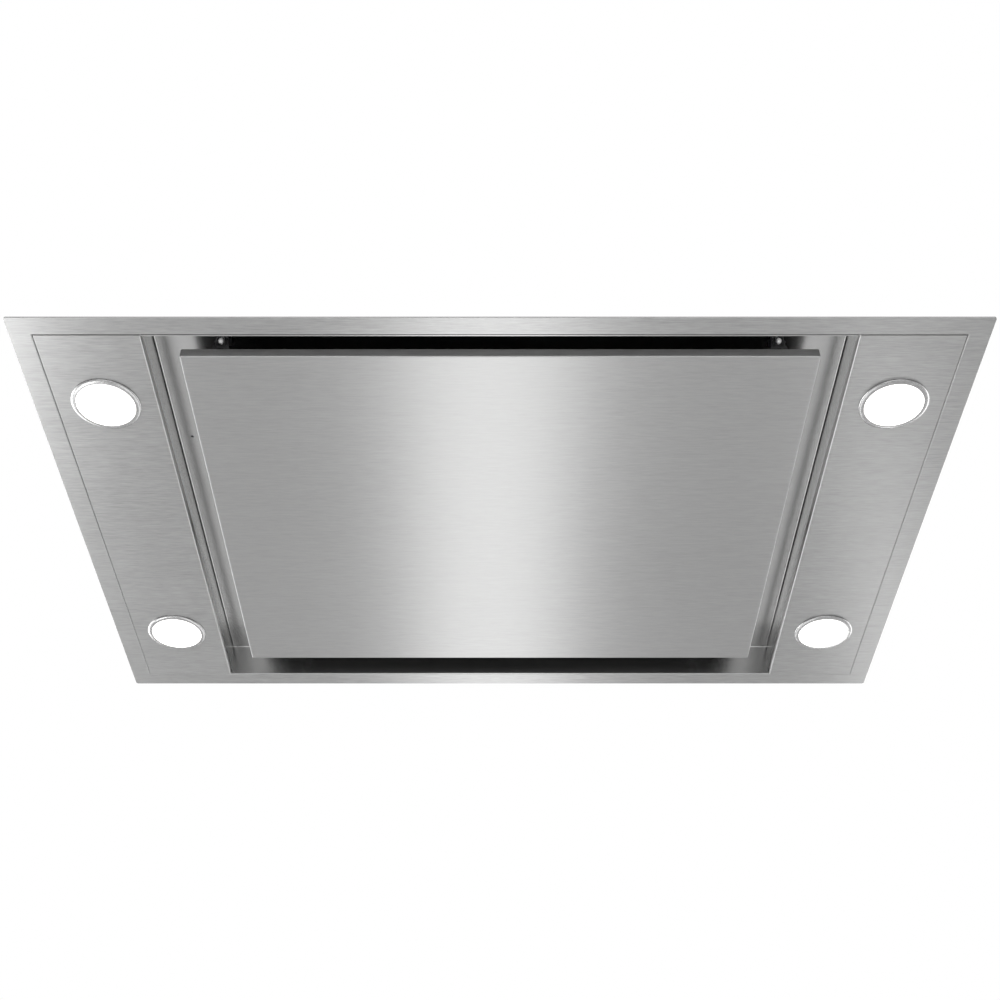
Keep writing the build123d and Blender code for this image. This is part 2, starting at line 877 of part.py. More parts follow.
with BuildPart() as catch_clips:
    leg_x = ball_r + clip_play + clip_sheet / 2
    leg_end = ball_z - ball_r
    for sign in signs:
        base = block_sketch(
            ceiling_z - clip_sheet,
            sign * catch_x - clip_base_half,
            sign * catch_x + clip_base_half,
            clip_y - clip_leg_depth / 2,
            clip_y - clip_leg_depth / 2 + clip_base_depth,
        )
        extrude(base, amount=clip_sheet)
        with BuildSketch(upright(sign * catch_x, clip_y)):
            for turn in signs:
                with BuildLine():
                    Polyline(
                        (turn * leg_x, ceiling_z - clip_sheet / 2),
                        (turn * leg_x, leg_end),
                        (turn * (leg_x + clip_flare), leg_end - clip_flare),
                    )
                trace(line_width=clip_sheet)
        extrude(amount=clip_leg_depth / 2, both=True)
    with BuildSketch(Plane.XY.offset(ceiling_z)):
        with Locations(*clip_screws):
            Circle(screw_hole_r)
    extrude(amount=-clip_sheet, mode=Mode.SUBTRACT)
catch_clips.part.label = "catch_clips"
export_step(catch_clips.part, "parts/catch_clips.step")

# ---------------------------------------------------------------- rear hinges
with BuildPart() as hinge_brackets:
    ear_x = knuckle_width / 2 + hinge_side_play
    for sign in signs:
        base = block_sketch(
            ceiling_z - ear_sheet,
            sign * hinge_x - hinge_base_half,
            sign * hinge_x + hinge_base_half,
            hinge_y - hinge_base_depth / 2,
            hinge_y + hinge_base_depth / 2,
        )
        extrude(base, amount=ear_sheet)
        for turn in signs:
            ear_face = sign * hinge_x + (ear_x if turn > 0 else -ear_x - ear_sheet)
            with BuildSketch(crosswise(ear_face, hinge_y)):
                with Locations((0, (hinge_z + ceiling_z) / 2)):
                    Rectangle(ear_depth, ceiling_z - hinge_z)
                with Locations((0, hinge_z)):
                    Circle(ear_depth / 2)
                    Circle(hinge_pin_r + hinge_play, mode=Mode.SUBTRACT)
            extrude(amount=ear_sheet)
    with BuildSketch(Plane.XY.offset(ceiling_z)):
        with Locations(*hinge_screws):
            Circle(screw_hole_r)
    extrude(amount=-ear_sheet, mode=Mode.SUBTRACT)
hinge_brackets.part.label = "hinge_brackets"
export_step(hinge_brackets.part, "parts/hinge_brackets.step")

with BuildPart() as hinge_arms:
    for sign in signs:
        foot = block_sketch(
            panel_top,
            sign * hinge_x - knuckle_width / 2,
            sign * hinge_x + knuckle_width / 2,
            hinge_y - arm_foot,
            hinge_y + arm_web / 2,
        )
        extrude(foot, amount=arm_sheet)
        with BuildSketch(crosswise(sign * hinge_x, hinge_y)):
            with Locations((0, (panel_top + hinge_z) / 2)):
                Rectangle(arm_web, hinge_z - panel_top)
            with Locations((0, hinge_z)):
                Circle(knuckle_r)
                Circle(hinge_pin_r + hinge_play, mode=Mode.SUBTRACT)
        extrude(amount=knuckle_width / 2, both=True)
    with BuildSketch(Plane.XY.offset(panel_top)):
        with Locations(*arm_screws):
            Circle(screw_hole_r)
    extrude(amount=arm_sheet, mode=Mode.SUBTRACT)
hinge_arms.part.label = "hinge_arms"
export_step(hinge_arms.part, "parts/hinge_arms.step")

with BuildPart() as hinge_pins:
    pin_half = ear_x + ear_sheet
    for sign in signs:
        pin_start = crosswise(sign * hinge_x - pin_half, hinge_y, hinge_z)
        with BuildSketch(pin_start):
            Circle(hinge_pin_r)
        extrude(amount=2 * pin_half)
        with BuildSketch(pin_start, pin_start.offset(2 * pin_half + pin_head)):
            Circle(pin_head_r)
        extrude(amount=-pin_head)
hinge_pins.part.label = "hinge_pins"
export_step(hinge_pins.part, "parts/hinge_pins.step")

# ---------------------------------------------------------------- low housing
with BuildPart() as housing_base:
    inner_x = base_half_x - base_sheet
    inner_y = base_half_y - base_sheet
    extrude(
        ring_sketch(flange_top, base_half_x, base_half_y, inner_x, inner_y),
        amount=base_top - flange_top,
    )
    extrude(
        ring_sketch(base_plate_z, base_half_x, base_half_y, plenum_half_x, plenum_half_y),
        amount=base_sheet,
    )
    with BuildSketch(Plane.XY.offset(base_plate_z)):
        with Locations(*casing_screws, *hanger_screws):
            Circle(screw_hole_r)
        with Locations((driver_x, trunk_y)):
            SlotCenterToCenter(lane_x[0] - lane_x[-1], 2 * cable_hole_r)
    extrude(amount=base_sheet, mode=Mode.SUBTRACT)
housing_base.part.label = "housing_base"
export_step(housing_base.part, "parts/housing_base.step")

# ---------------------------------------------------------------- fan casing and cover
casing_x = casing_length / 2
casing_y = casing_width / 2
with BuildPart() as fan_casing:
    extrude(
        ring_sketch(base_top, casing_x, casing_y, casing_x - casing_sheet, casing_y - casing_sheet),
        amount=casing_height,
    )
    extrude(
        ring_sketch(
            base_top,
            casing_x + casing_flange,
            casing_y + casing_flange,
            casing_x - casing_sheet,
            casing_y - casing_sheet,
        ),
        amount=casing_sheet,
    )
    extrude(
        ring_sketch(
            casing_top - casing_sheet,
            casing_x,
            casing_y,
            casing_x - casing_flange,
            casing_y - casing_flange,
        ),
        amount=casing_sheet,
    )
    with BuildSketch(Plane.XY.offset(base_top)):
        with Locations(*casing_screws):
            Circle(screw_hole_r)
    extrude(amount=casing_sheet, mode=Mode.SUBTRACT)
    with BuildSketch(Plane.XY.offset(casing_top)):
        with Locations(*cover_screws):
            Circle(screw_hole_r)
    extrude(amount=-casing_sheet, mode=Mode.SUBTRACT)
    with BuildSketch(crosswise(duct_x, 0)):
        with Locations((duct_y, duct_z)):
            Circle(duct_r - duct_wall)
        with Locations(*duct_screws):
            Circle(screw_hole_r)
    extrude(amount=-casing_sheet, mode=Mode.SUBTRACT)
    with BuildSketch(crosswise(-casing_x, 0)):
        with Locations((0, gland_z)):
            Circle(lead_hole_r)
    extrude(amount=casing_sheet, mode=Mode.SUBTRACT)
fan_casing.part.label = "fan_casing"
export_step(fan_casing.part, "parts/fan_casing.step")

with BuildPart() as service_cover:
    extrude(panel_sketch(casing_top, casing_length, casing_width, cover_corner), amount=cover_sheet)
    with BuildSketch(Plane.XY.offset(casing_top)):
        with Locations(*cover_screws):
            Circle(screw_hole_r)
    extrude(amount=cover_sheet, mode=Mode.SUBTRACT)
service_cover.part.label = "service_cover"
export_step(service_cover.part, "parts/service_cover.step")

# ---------------------------------------------------------------- ceiling seal and hangers
with BuildPart() as ceiling_seal:
    seal_x = frame_length / 2 - seal_inset
    seal_y = frame_width / 2 - seal_inset
    extrude(
        ring_sketch(flange_top, seal_x, seal_y, seal_x - seal_strip, seal_y - seal_strip),
        amount=ceiling_seal_height,
    )
ceiling_seal.part.label = "ceiling_seal"
export_step(ceiling_seal.part, "parts/ceiling_seal.step")

with BuildPart() as hanging_brackets:
    for x, y in hanger_places:
        inward = -math.copysign(1, y)
        web_y = y + inward * hanger_width / 2
        foot = block_sketch(
            base_top,
            x - hanger_width / 2,
            x + hanger_width / 2,
            min(web_y, web_y + inward * hanger_foot),
            max(web_y, web_y + inward * hanger_foot),
        )
        extrude(foot, amount=hanger_sheet)
        web = block_sketch(
            base_top,
            x - hanger_width / 2,
            x + hanger_width / 2,
            min(web_y, web_y + inward * hanger_sheet),
            max(web_y, web_y + inward * hanger_sheet),
        )
        extrude(web, amount=hanger_rise)
        tab = block_sketch(
            base_top + hanger_rise - hanger_sheet,
            x - hanger_width / 2,
            x + hanger_width / 2,
            min(web_y + inward * hanger_sheet, web_y - inward * hanger_width),
            max(web_y + inward * hanger_sheet, web_y - inward * hanger_width),
        )
        extrude(tab, amount=hanger_sheet)
    with BuildSketch(Plane.XY.offset(base_top + hanger_rise)):
        with Locations(*hanger_places):
            SlotOverall(hanger_slot_length, 2 * hanger_slot_r)
    extrude(amount=-hanger_sheet, mode=Mode.SUBTRACT)
    with BuildSketch(Plane.XY.offset(base_top)):
        with Locations(*hanger_screws):
            Circle(screw_hole_r)
    extrude(amount=hanger_sheet, mode=Mode.SUBTRACT)
hanging_brackets.part.label = "hanging_brackets"
export_step(hanging_brackets.part, "parts/hanging_brackets.step")

# ---------------------------------------------------------------- lamps
for place, (x, y) in lamp_places.items():
    lamp_axis = Axis((x, y, 0), (0, 0, 1))
    with BuildPart() as lamp_bezel:
        with BuildSketch(upright(x, y)):
            with BuildLine():
                crest_r = lens_window_r + bezel_crest
                rim_z = face_z - bezel_rim
                EllipticalCenterArc((crest_r, rim_z), bezel_r - crest_r, rim_z, start_angle=270, arc_size=90)
                Polyline(
                    (bezel_r, rim_z),
                    (bezel_r, face_z),
                    (neck_r, face_z),
                    (neck_r, neck_top),
                    (neck_bore_r, neck_top),
                    (neck_bore_r, lens_lip),
                    (lens_window_r, lens_lip),
                    (lens_window_r, 0),
                    (crest_r, 0),
                )
            make_face()
        revolve(axis=lamp_axis)
    lamp_bezel.part.label = f"lamp_bezel_{place}"
    export_step(lamp_bezel.part, f"parts/lamp_bezel_{place}.step")

with BuildPart() as lamp_lenses:
    with BuildSketch(Plane.XY.offset(lens_lip)):
        with Locations(*lamp_places.values()):
            Circle(neck_bore_r - lamp_play)
    extrude(amount=lens_thickness)
    with BuildSketch(Plane.XY.offset(lens_set)):
        with Locations(*lamp_places.values()):
            Circle(lens_window_r - lamp_play)
    extrude(amount=lens_lip - lens_set)
lamp_lenses.part.label = "lamp_lenses"
export_step(lamp_lenses.part, "parts/lamp_lenses.step")

with BuildPart() as led_boards:
    with BuildSketch(Plane.XY.offset(body_z)):
        with Locations(*lamp_places.values()):
            Circle(board_r)
    extrude(amount=-board_sheet)
led_boards.part.label = "led_boards"
export_step(led_boards.part, "parts/led_boards.step")

with BuildPart() as lamp_bodies:
    with BuildSketch(Plane.XY.offset(body_z)):
        with Locations(*lamp_places.values()):
            Circle(neck_bore_r - lamp_play)
    extrude(amount=neck_top - body_z)
    with BuildSketch(Plane.XY.offset(neck_top)):
        with Locations(*lamp_places.values()):
            Circle(neck_r)
    extrude(amount=body_height)
    with BuildSketch(Plane.XY.offset(body_top)):
        with Locations(*lamp_places.values()):
            with PolarLocations(neck_r - fin_depth / 2, fin_count, start_angle=180 / fin_count):
                Rectangle(fin_depth + fin_gap, fin_gap)
    extrude(amount=-fin_height, mode=Mode.SUBTRACT)
lamp_bodies.part.label = "lamp_bodies"
export_step(lamp_bodies.part, "parts/lamp_bodies.step")

with BuildPart() as lamp_springs:
    leaf_top = neck_top + body_height - fin_height
    for x, y in lamp_places.values():
        with BuildSketch(crosswise(x, y)):
            for turn in signs:
                with BuildLine():
                    Polyline(
                        (turn * (neck_r + leaf_sheet / 2), leaf_top),
                        (turn * (neck_r + leaf_sheet / 2), leaf_top - leaf_pad / 2),
                        (turn * (neck_r + leaf_reach), flange_top + leaf_sheet / 2),
                        (turn * (neck_r + leaf_reach + leaf_pad), flange_top + leaf_sheet / 2),
                    )
                trace(line_width=leaf_sheet)
        extrude(amount=leaf_width / 2, both=True)
lamp_springs.part.label = "lamp_springs"
export_step(lamp_springs.part, "parts/lamp_springs.step")

# ---------------------------------------------------------------- receiver
with BuildPart() as receiver:
    with BuildSketch(Plane.XY.offset(tray_top)):
        with Locations((receiver_x, receiver_y)):
            Rectangle(receiver_body, receiver_body)
    extrude(amount=receiver_height)
    with BuildSketch(Plane.XY.offset(tray_top)):
        with Locations((receiver_x, receiver_y)):
            Circle(receiver_hole_r - receiver_play)
    extrude(amount=-tray_sheet)
receiver.part.label = "receiver"
export_step(receiver.part, "parts/receiver.step")

# ---------------------------------------------------------------- blower plate and bell mouth
blower_axis = Axis((blower_x, blower_y, 0), (0, 0, 1))
plate_x = casing_x - casing_sheet
plate_y = casing_y - casing_sheet
bell_x = inlet_r + blower_sheet + inlet_round
bell_z = blower_z + inlet_round
inlet_top = blower_z + inlet_height
with BuildPart() as blower_plate:
    with BuildSketch(Plane.XY.offset(blower_z)):
        Rectangle(2 * plate_x, 2 * plate_y)
        with Locations((blower_x, blower_y)):
            Circle(bell_x, mode=Mode.SUBTRACT)
        with Locations(*scroll_screws):
            Circle(screw_hole_r, mode=Mode.SUBTRACT)
        with Locations((lead_x, 0)):
            Circle(lead_hole_r, mode=Mode.SUBTRACT)
    extrude(amount=blower_sheet)
    extrude(
        ring_sketch(blower_z, plate_x, plate_y, plate_x - blower_sheet, plate_y - blower_sheet),
        amount=-blower_edge,
    )
blower_plate.part.label = "blower_plate"
export_step(blower_plate.part, "parts/blower_plate.step")

with BuildPart() as inlet_ring:
    with BuildSketch(upright(blower_x, blower_y)):
        with BuildLine():
            CenterArc((bell_x, bell_z), inlet_round, 180, 90)
            Polyline(
                (bell_x, blower_z),
                (bell_x + inlet_flange, blower_z),
                (bell_x + inlet_flange, blower_z - blower_sheet),
                (bell_x, blower_z - blower_sheet),
            )
            CenterArc((bell_x, bell_z), inlet_round + blower_sheet, 180, 90)
            Polyline(
                (inlet_r, bell_z),
                (inlet_r, inlet_top),
                (inlet_r + blower_sheet, inlet_top),
                (inlet_r + blower_sheet, bell_z),
            )
        make_face()
    revolve(axis=blower_axis)
inlet_ring.part.label = "inlet_ring"
export_step(inlet_ring.part, "parts/inlet_ring.step")

# ---------------------------------------------------------------- volute
def volute_sketch(outset=0.0):
    """Outline of the volute and its straight mouth, grown by outset."""
    start_sine = (mouth_inner_y - blower_y + outset) / (scroll_cutoff_r + outset)
    start_deg = math.degrees(math.asin(start_sine))
    step = (scroll_exit_deg - start_deg) / scroll_points
    far_x = mouth_x + scroll_lip
    with BuildSketch(Plane.XY.offset(blower_top)) as volute:
        with BuildLine():
            wall = Spline(*[spiral(start_deg + step * i, outset) for i in range(scroll_points + 1)])
            Polyline(
                wall @ 1,
                (far_x, mouth_outer_y - outset),
                (far_x, mouth_inner_y + outset),
                wall @ 0,
            )
        make_face()
    return volute.sketch


with BuildPart() as blower_scroll:
    extrude(volute_sketch(scroll_wall), amount=scroll_top - blower_top)
    extrude(volute_sketch(scroll_lip), amount=scroll_wall)
    extrude(volute_sketch(), amount=scroll_inner_top - blower_top, mode=Mode.SUBTRACT)
    with BuildSketch(Plane.XY.offset(scroll_top)):
        with Locations((blower_x, blower_y)):
            Circle(motor_r + motor_hole_play)
        with Locations(*mount_places):
            Circle(screw_hole_r)
    extrude(amount=-scroll_wall, mode=Mode.SUBTRACT)
    with BuildSketch(Plane.XY.offset(blower_top)):
        with Locations(*scroll_screws):
            Circle(screw_hole_r)
    extrude(amount=scroll_wall, mode=Mode.SUBTRACT)
    split(bisect_by=Plane.YZ.offset(mouth_x), keep=Keep.BOTTOM)
blower_scroll.part.label = "blower_scroll"
export_step(blower_scroll.part, "parts/blower_scroll.step")

# ---------------------------------------------------------------- fan wheel
blade_outer_r = wheel_r - blade_sheet
blade_mid_r = (wheel_eye_r + blade_outer_r) / 2
blade_turn = math.radians(blade_lead)
with BuildSketch() as blade:
    with BuildLine():
        ThreePointArc(
            (wheel_eye_r + blade_sheet / 2, 0),
            (blade_mid_r * math.cos(blade_turn / 2), blade_mid_r * math.sin(blade_turn / 2) - blade_bow),
            (blade_outer_r * math.cos(blade_turn), blade_outer_r * math.sin(blade_turn)),
        )
    trace(line_width=blade_sheet)

with BuildPart() as wheel_blades:
    with BuildSketch(Plane(origin=(blower_x, blower_y, wheel_z + wheel_ring_height))):
        with PolarLocations(0, blade_count):
            add(blade.sketch)
    extrude(amount=wheel_height - wheel_disc - wheel_ring_height)
wheel_blades.part.label = "wheel_blades"
export_step(wheel_blades.part, "parts/wheel_blades.step")

with BuildPart() as wheel_ring:
    with BuildSketch(Plane(origin=(blower_x, blower_y, wheel_z))):
        Circle(wheel_r)
        Circle(wheel_eye_r, mode=Mode.SUBTRACT)
    extrude(amount=wheel_ring_height)
wheel_ring.part.label = "wheel_ring"
export_step(wheel_ring.part, "parts/wheel_ring.step")

with BuildPart() as wheel_plate:
    with BuildSketch(upright(blower_x, blower_y)):
        with BuildLine():
            Polyline(
                (shaft_r + shaft_play, cup_floor - wheel_hub_height),
                (wheel_hub_r, cup_floor - wheel_hub_height),
                (wheel_hub_r, cup_floor),
                (wheel_cup_r, cup_floor),
                (wheel_cup_r, wheel_top - wheel_disc),
                (wheel_r, wheel_top - wheel_disc),
                (wheel_r, wheel_top),
                (wheel_cup_r - wheel_disc, wheel_top),
                (wheel_cup_r - wheel_disc, cup_floor + wheel_disc),
                (shaft_r + shaft_play, cup_floor + wheel_disc),
                close=True,
            )
        make_face()
    revolve(axis=blower_axis)
wheel_plate.part.label = "wheel_plate"
export_step(wheel_plate.part, "parts/wheel_plate.step")

# ---------------------------------------------------------------- fan motor
with BuildPart() as motor_can:
    with BuildSketch(upright(blower_x, blower_y)):
        with BuildLine():
            Polyline(
                (shaft_r + motor_wall, motor_z),
                (motor_r, motor_z),
                (motor_r, bracket_z),
                (motor_r - motor_wall, bracket_z),
                (motor_r - motor_wall, motor_z + motor_floor),
                (bearing_r + bearing_boss, motor_z + motor_floor),
                (bearing_r + bearing_boss, lower_bearing_z + bearing_width),
                (bearing_r, lower_bearing_z + bearing_width),
                (bearing_r, motor_z + motor_floor),
                (shaft_r + motor_wall, motor_z + motor_floor),
                close=True,
            )
        make_face()
    revolve(axis=blower_axis)
motor_can.part.label = "motor_can"
export_step(motor_can.part, "parts/motor_can.step")

with BuildPart() as motor_bracket:
    with BuildSketch(Plane.XY.offset(bracket_z)):
        with Locations((blower_x, blower_y)):
            Circle(bracket_r)
        with Locations(*mount_places):
            Circle(screw_hole_r, mode=Mode.SUBTRACT)
    extrude(amount=bracket_sheet)
    with BuildSketch(Plane.XY.offset(bracket_z)):
        with Locations((blower_x, blower_y)):
            Circle(bearing_r + bearing_boss)
            Circle(bearing_r, mode=Mode.SUBTRACT)
    extrude(amount=-bearing_width)
motor_bracket.part.label = "motor_bracket"
export_step(motor_bracket.part, "parts/motor_bracket.step")

with BuildPart() as motor_bearings:
    with BuildSketch(Plane.XY.offset(lower_bearing_z), Plane.XY.offset(upper_bearing_z)):
        with Locations((blower_x, blower_y)):
            Circle(bearing_r)
            Circle(shaft_r + shaft_play, mode=Mode.SUBTRACT)
    extrude(amount=bearing_width)
motor_bearings.part.label = "motor_bearings"
export_step(motor_bearings.part, "parts/motor_bearings.step")

rotor_z = lower_bearing_z + bearing_width + rotor_clear
rotor_height = upper_bearing_z - rotor_clear - rotor_z
with BuildPart() as motor_rotor:
    with BuildSketch(Plane(origin=(blower_x, blower_y, cup_floor - wheel_hub_height))):
        Circle(shaft_r)
    extrude(amount=bracket_z - cup_floor + wheel_hub_height - shaft_play)
    with BuildSketch(Plane(origin=(blower_x, blower_y, rotor_z))):
        Circle(rotor_r)
    extrude(amount=rotor_height)
motor_rotor.part.label = "motor_rotor"
export_step(motor_rotor.part, "parts/motor_rotor.step")

stator_z = rotor_z + (rotor_height - stator_height) / 2
with BuildPart() as motor_stator:
    with BuildSketch(Plane(origin=(blower_x, blower_y, stator_z))):
        Circle(motor_r - motor_wall - stator_play)
        Circle(rotor_r + rotor_gap, mode=Mode.SUBTRACT)
    extrude(amount=stator_height)
    with BuildSketch(Plane(origin=(blower_x, blower_y, stator_z - coil_rise))):
        Circle(coil_outer_r)
        Circle(coil_inner_r, mode=Mode.SUBTRACT)
    extrude(amount=stator_height + 2 * coil_rise)
motor_stator.part.label = "motor_stator"
export_step(motor_stator.part, "parts/motor_stator.step")

with BuildPart() as motor_mounts:
    with BuildSketch(Plane.XY.offset(scroll_top)):
        with Locations(*mount_places):
            Circle(mount_r)
            Circle(screw_hole_r, mode=Mode.SUBTRACT)
    extrude(amount=mount_height)
motor_mounts.part.label = "motor_mounts"
export_step(motor_mounts.part, "parts/motor_mounts.step")

# ---------------------------------------------------------------- duct outlet and damper
bore_r = duct_r - duct_wall
seat_x = damper_x - damper_offset - damper_sheet - seat_gap
bar_x = damper_x - damper_knuckle_r - seat_gap
with BuildPart() as outlet_collar:
    with BuildSketch(crosswise(duct_x, 0)):
        with Locations((duct_y, duct_z)):
            Circle(duct_flange_r)
            Circle(bore_r, mode=Mode.SUBTRACT)
        with Locations(*duct_screws):
            Circle(screw_hole_r, mode=Mode.SUBTRACT)
    extrude(amount=duct_flange)
    with BuildSketch(crosswise(duct_x, 0)):
        with Locations((duct_y, duct_z)):
            Circle(duct_r)
            Circle(bore_r, mode=Mode.SUBTRACT)
    extrude(amount=duct_length)
    with BuildSketch(crosswise(seat_x, 0)):
        with Locations((duct_y, duct_z)):
            Circle(bore_r + duct_wall / 2)
            Circle(bore_r - seat_width, mode=Mode.SUBTRACT)
    extrude(amount=-seat_depth)
    with BuildSketch(crosswise(bar_x, 0)):
        with Locations((duct_y, duct_z)):
            Rectangle(seat_bar, 2 * bore_r + duct_wall)
    extrude(amount=-seat_depth)
    with BuildSketch(Plane(origin=(damper_x, duct_y, duct_z - duct_r + duct_wall / 4))):
        Circle(damper_pin_r + damper_play)
    extrude(amount=2 * duct_r - duct_wall / 2, mode=Mode.SUBTRACT)
outlet_collar.part.label = "outlet_collar"
export_step(outlet_collar.part, "parts/outlet_collar.step")

with BuildPart() as damper_pin:
    with BuildSketch(Plane(origin=(damper_x, duct_y, duct_z - duct_r + duct_wall / 2))):
        Circle(damper_pin_r)
    extrude(amount=2 * duct_r - duct_wall)
damper_pin.part.label = "damper_pin"
export_step(damper_pin.part, "parts/damper_pin.step")

flaps = {"front": (-1, damper_front_z), "rear": (1, damper_rear_z)}
for side, (sign, knuckle_places) in flaps.items():
    with BuildPart() as damper_flap:
        plate_face = damper_x - damper_offset - damper_sheet
        with BuildSketch(crosswise(plate_face, 0)):
            with Locations((duct_y, duct_z)):
                Circle(bore_r - damper_rim)
            with Locations((duct_y + sign * (damper_edge - bore_r), duct_z)):
                Rectangle(2 * bore_r, 2 * bore_r, mode=Mode.SUBTRACT)
            with Locations(*[(duct_y + sign * damper_edge / 2, duct_z + z) for z in knuckle_places]):
                Rectangle(damper_edge + damper_rim, damper_knuckle)
        extrude(amount=damper_sheet)
        for z in knuckle_places:
            with BuildSketch(Plane(origin=(damper_x, duct_y, duct_z + z - damper_knuckle / 2))):
                Circle(damper_knuckle_r)
            extrude(amount=damper_knuckle)
        with BuildSketch(Plane(origin=(damper_x, duct_y, duct_z - duct_r))):
            Circle(damper_pin_r + damper_play)
        extrude(amount=2 * duct_r, mode=Mode.SUBTRACT)
    damper_flap.part.label = f"damper_flap_{side}"
    export_step(damper_flap.part, f"parts/damper_flap_{side}.step")

# ---------------------------------------------------------------- electrics
control_half_x = control_length / 2
with BuildPart() as control_box:
    with BuildSketch(Plane.XY.offset(base_top)):
        with Locations((control_x, 0)):
            Rectangle(control_length, control_width)
    extrude(amount=control_height)
    with BuildSketch(Plane.XY.offset(base_top)):
        with Locations((control_x, 0)):
            Rectangle(control_length - 2 * control_wall, control_width - 2 * control_wall)
    extrude(amount=control_height - control_wall, mode=Mode.SUBTRACT)
    with BuildSketch(crosswise(control_end_x, gland_y, gland_z)):
        Circle(gland_body_r + gland_play)
    extrude(amount=control_wall, mode=Mode.SUBTRACT)
    with BuildSketch(crosswise(control_x + control_half_x, 0)):
        with Locations((0, gland_z)):
            Circle(lead_entry_r)
    extrude(amount=-control_wall, mode=Mode.SUBTRACT)
control_box.part.label = "control_box"
export_step(control_box.part, "parts/control_box.step")

with BuildPart() as control_board:
    with BuildSketch(Plane.XY.offset(base_top + pcb_rise)):
        with Locations((control_x, pcb_y)):
            Rectangle(pcb_length, pcb_width)
    extrude(amount=pcb_sheet)
    with BuildSketch(Plane.XY.offset(base_top)):
        with Locations((control_x, pcb_y)):
            with GridLocations(2 * pcb_post_x, 2 * pcb_post_y, 2, 2):
                Circle(pcb_post_r)
    extrude(amount=pcb_rise)
    with BuildSketch(Plane.XY.offset(base_top + pcb_rise + pcb_sheet)):
        with Locations((control_x, terminal_y)):
            Rectangle(terminal_length, terminal_width)
        with Locations((control_x + relay_x, board_part_y)):
            Rectangle(relay_length, relay_width)
        with Locations((control_x + choke_x, board_part_y)):
            Rectangle(choke_length, choke_width)
    extrude(amount=board_part_height)
control_board.part.label = "control_board"
export_step(control_board.part, "parts/control_board.step")

with BuildPart() as capacitor:
    cap_z = base_top + capacitor_saddle + capacitor_r
    cap_start = control_x - capacitor_length / 2
    with BuildSketch(crosswise(cap_start, 0)):
        with Locations((capacitor_y, cap_z)):
            Circle(capacitor_r)
    extrude(amount=capacitor_length)
    with BuildSketch(Plane.XY.offset(base_top)):
        with Locations((control_x, capacitor_y)):
            Rectangle(saddle_length, saddle_width)
    extrude(amount=capacitor_r)
capacitor.part.label = "capacitor"
export_step(capacitor.part, "parts/capacitor.step")

with BuildPart() as led_driver:
    with BuildSketch(Plane.XY.offset(base_top)):
        with Locations((driver_x, driver_y)):
            RectangleRounded(driver_length, driver_width, driver_corner)
    extrude(amount=driver_height)
led_driver.part.label = "led_driver"
export_step(led_driver.part, "parts/led_driver.step")

gland_start = Plane(origin=(control_end_x, gland_y, gland_z), x_dir=(0, 1, 0), z_dir=(-1, 0, 0))
with BuildPart() as cable_gland:
    with BuildSketch(gland_start.offset(-control_wall - gland_nut)):
        Circle(gland_body_r)
    extrude(amount=control_wall + gland_nut + gland_outside)
    with BuildSketch(gland_start, gland_start.offset(-control_wall - gland_nut)):
        RegularPolygon(gland_nut_r, 6)
    extrude(amount=gland_nut)
    with BuildSketch(gland_start.offset(-control_wall - gland_nut)):
        Circle(gland_bore_r)
    extrude(amount=control_wall + gland_nut + gland_outside, mode=Mode.SUBTRACT)
cable_gland.part.label = "cable_gland"
export_step(cable_gland.part, "parts/cable_gland.step")

# ---------------------------------------------------------------- wiring
def lamp_route(lane, x, y):
    """Corner points of one lamp cable, from the driver's end to the top of the lamp body."""
    cable_x = lane_x[lane]
    start_z = base_top + driver_height / 2
    points = [(cable_x, driver_end, start_z), (cable_x, trunk_y, start_z), (cable_x, trunk_y, cable_z)]
    if x > 0:
        lane_y = cross_y + cable_lane * (1 - lane)
        end_x = x + cable_lane * (2 * lane - 1)
        points += [(cable_x, lane_y, cable_z), (end_x, lane_y, cable_z)]
    elif y > 0:
        end_x = x
        points += [(cable_x, y, cable_z)]
    else:
        end_x = x - cable_lane
        points += [(end_x, trunk_y, cable_z)]
    return points + [(end_x, y, cable_z), (end_x, y, body_top)]


with BuildPart() as wiring_loom:
    lanes = {"front_right": 0, "rear_right": 1, "rear_left": 2, "front_left": 3}
    for place, lane in lanes.items():
        with BuildLine() as route:
            FilletPolyline(*lamp_route(lane, *lamp_places[place]), radius=cable_bend_r)
        with BuildSketch(Plane(origin=route.line @ 0, z_dir=route.line % 0)):
            Circle(cable_r)
        sweep(path=route.line)
    with BuildLine() as route:
        lead_z = bracket_z + bracket_sheet + lead_rise
        lead_end = blower_x - motor_r / 2
        FilletPolyline(
            (control_x + control_half_x - control_wall, 0, gland_z),
            (lead_x, 0, gland_z),
            (lead_x, 0, lead_z),
            (lead_end, 0, lead_z),
            (lead_end, 0, bracket_z + bracket_sheet),
            radius=lead_rise - lead_r / 2,
        )
    with BuildSketch(Plane(origin=route.line @ 0, z_dir=route.line % 0)):
        Circle(lead_r)
    sweep(path=route.line)
wiring_loom.part.label = "wiring_loom"
export_step(wiring_loom.part, "parts/wiring_loom.step")


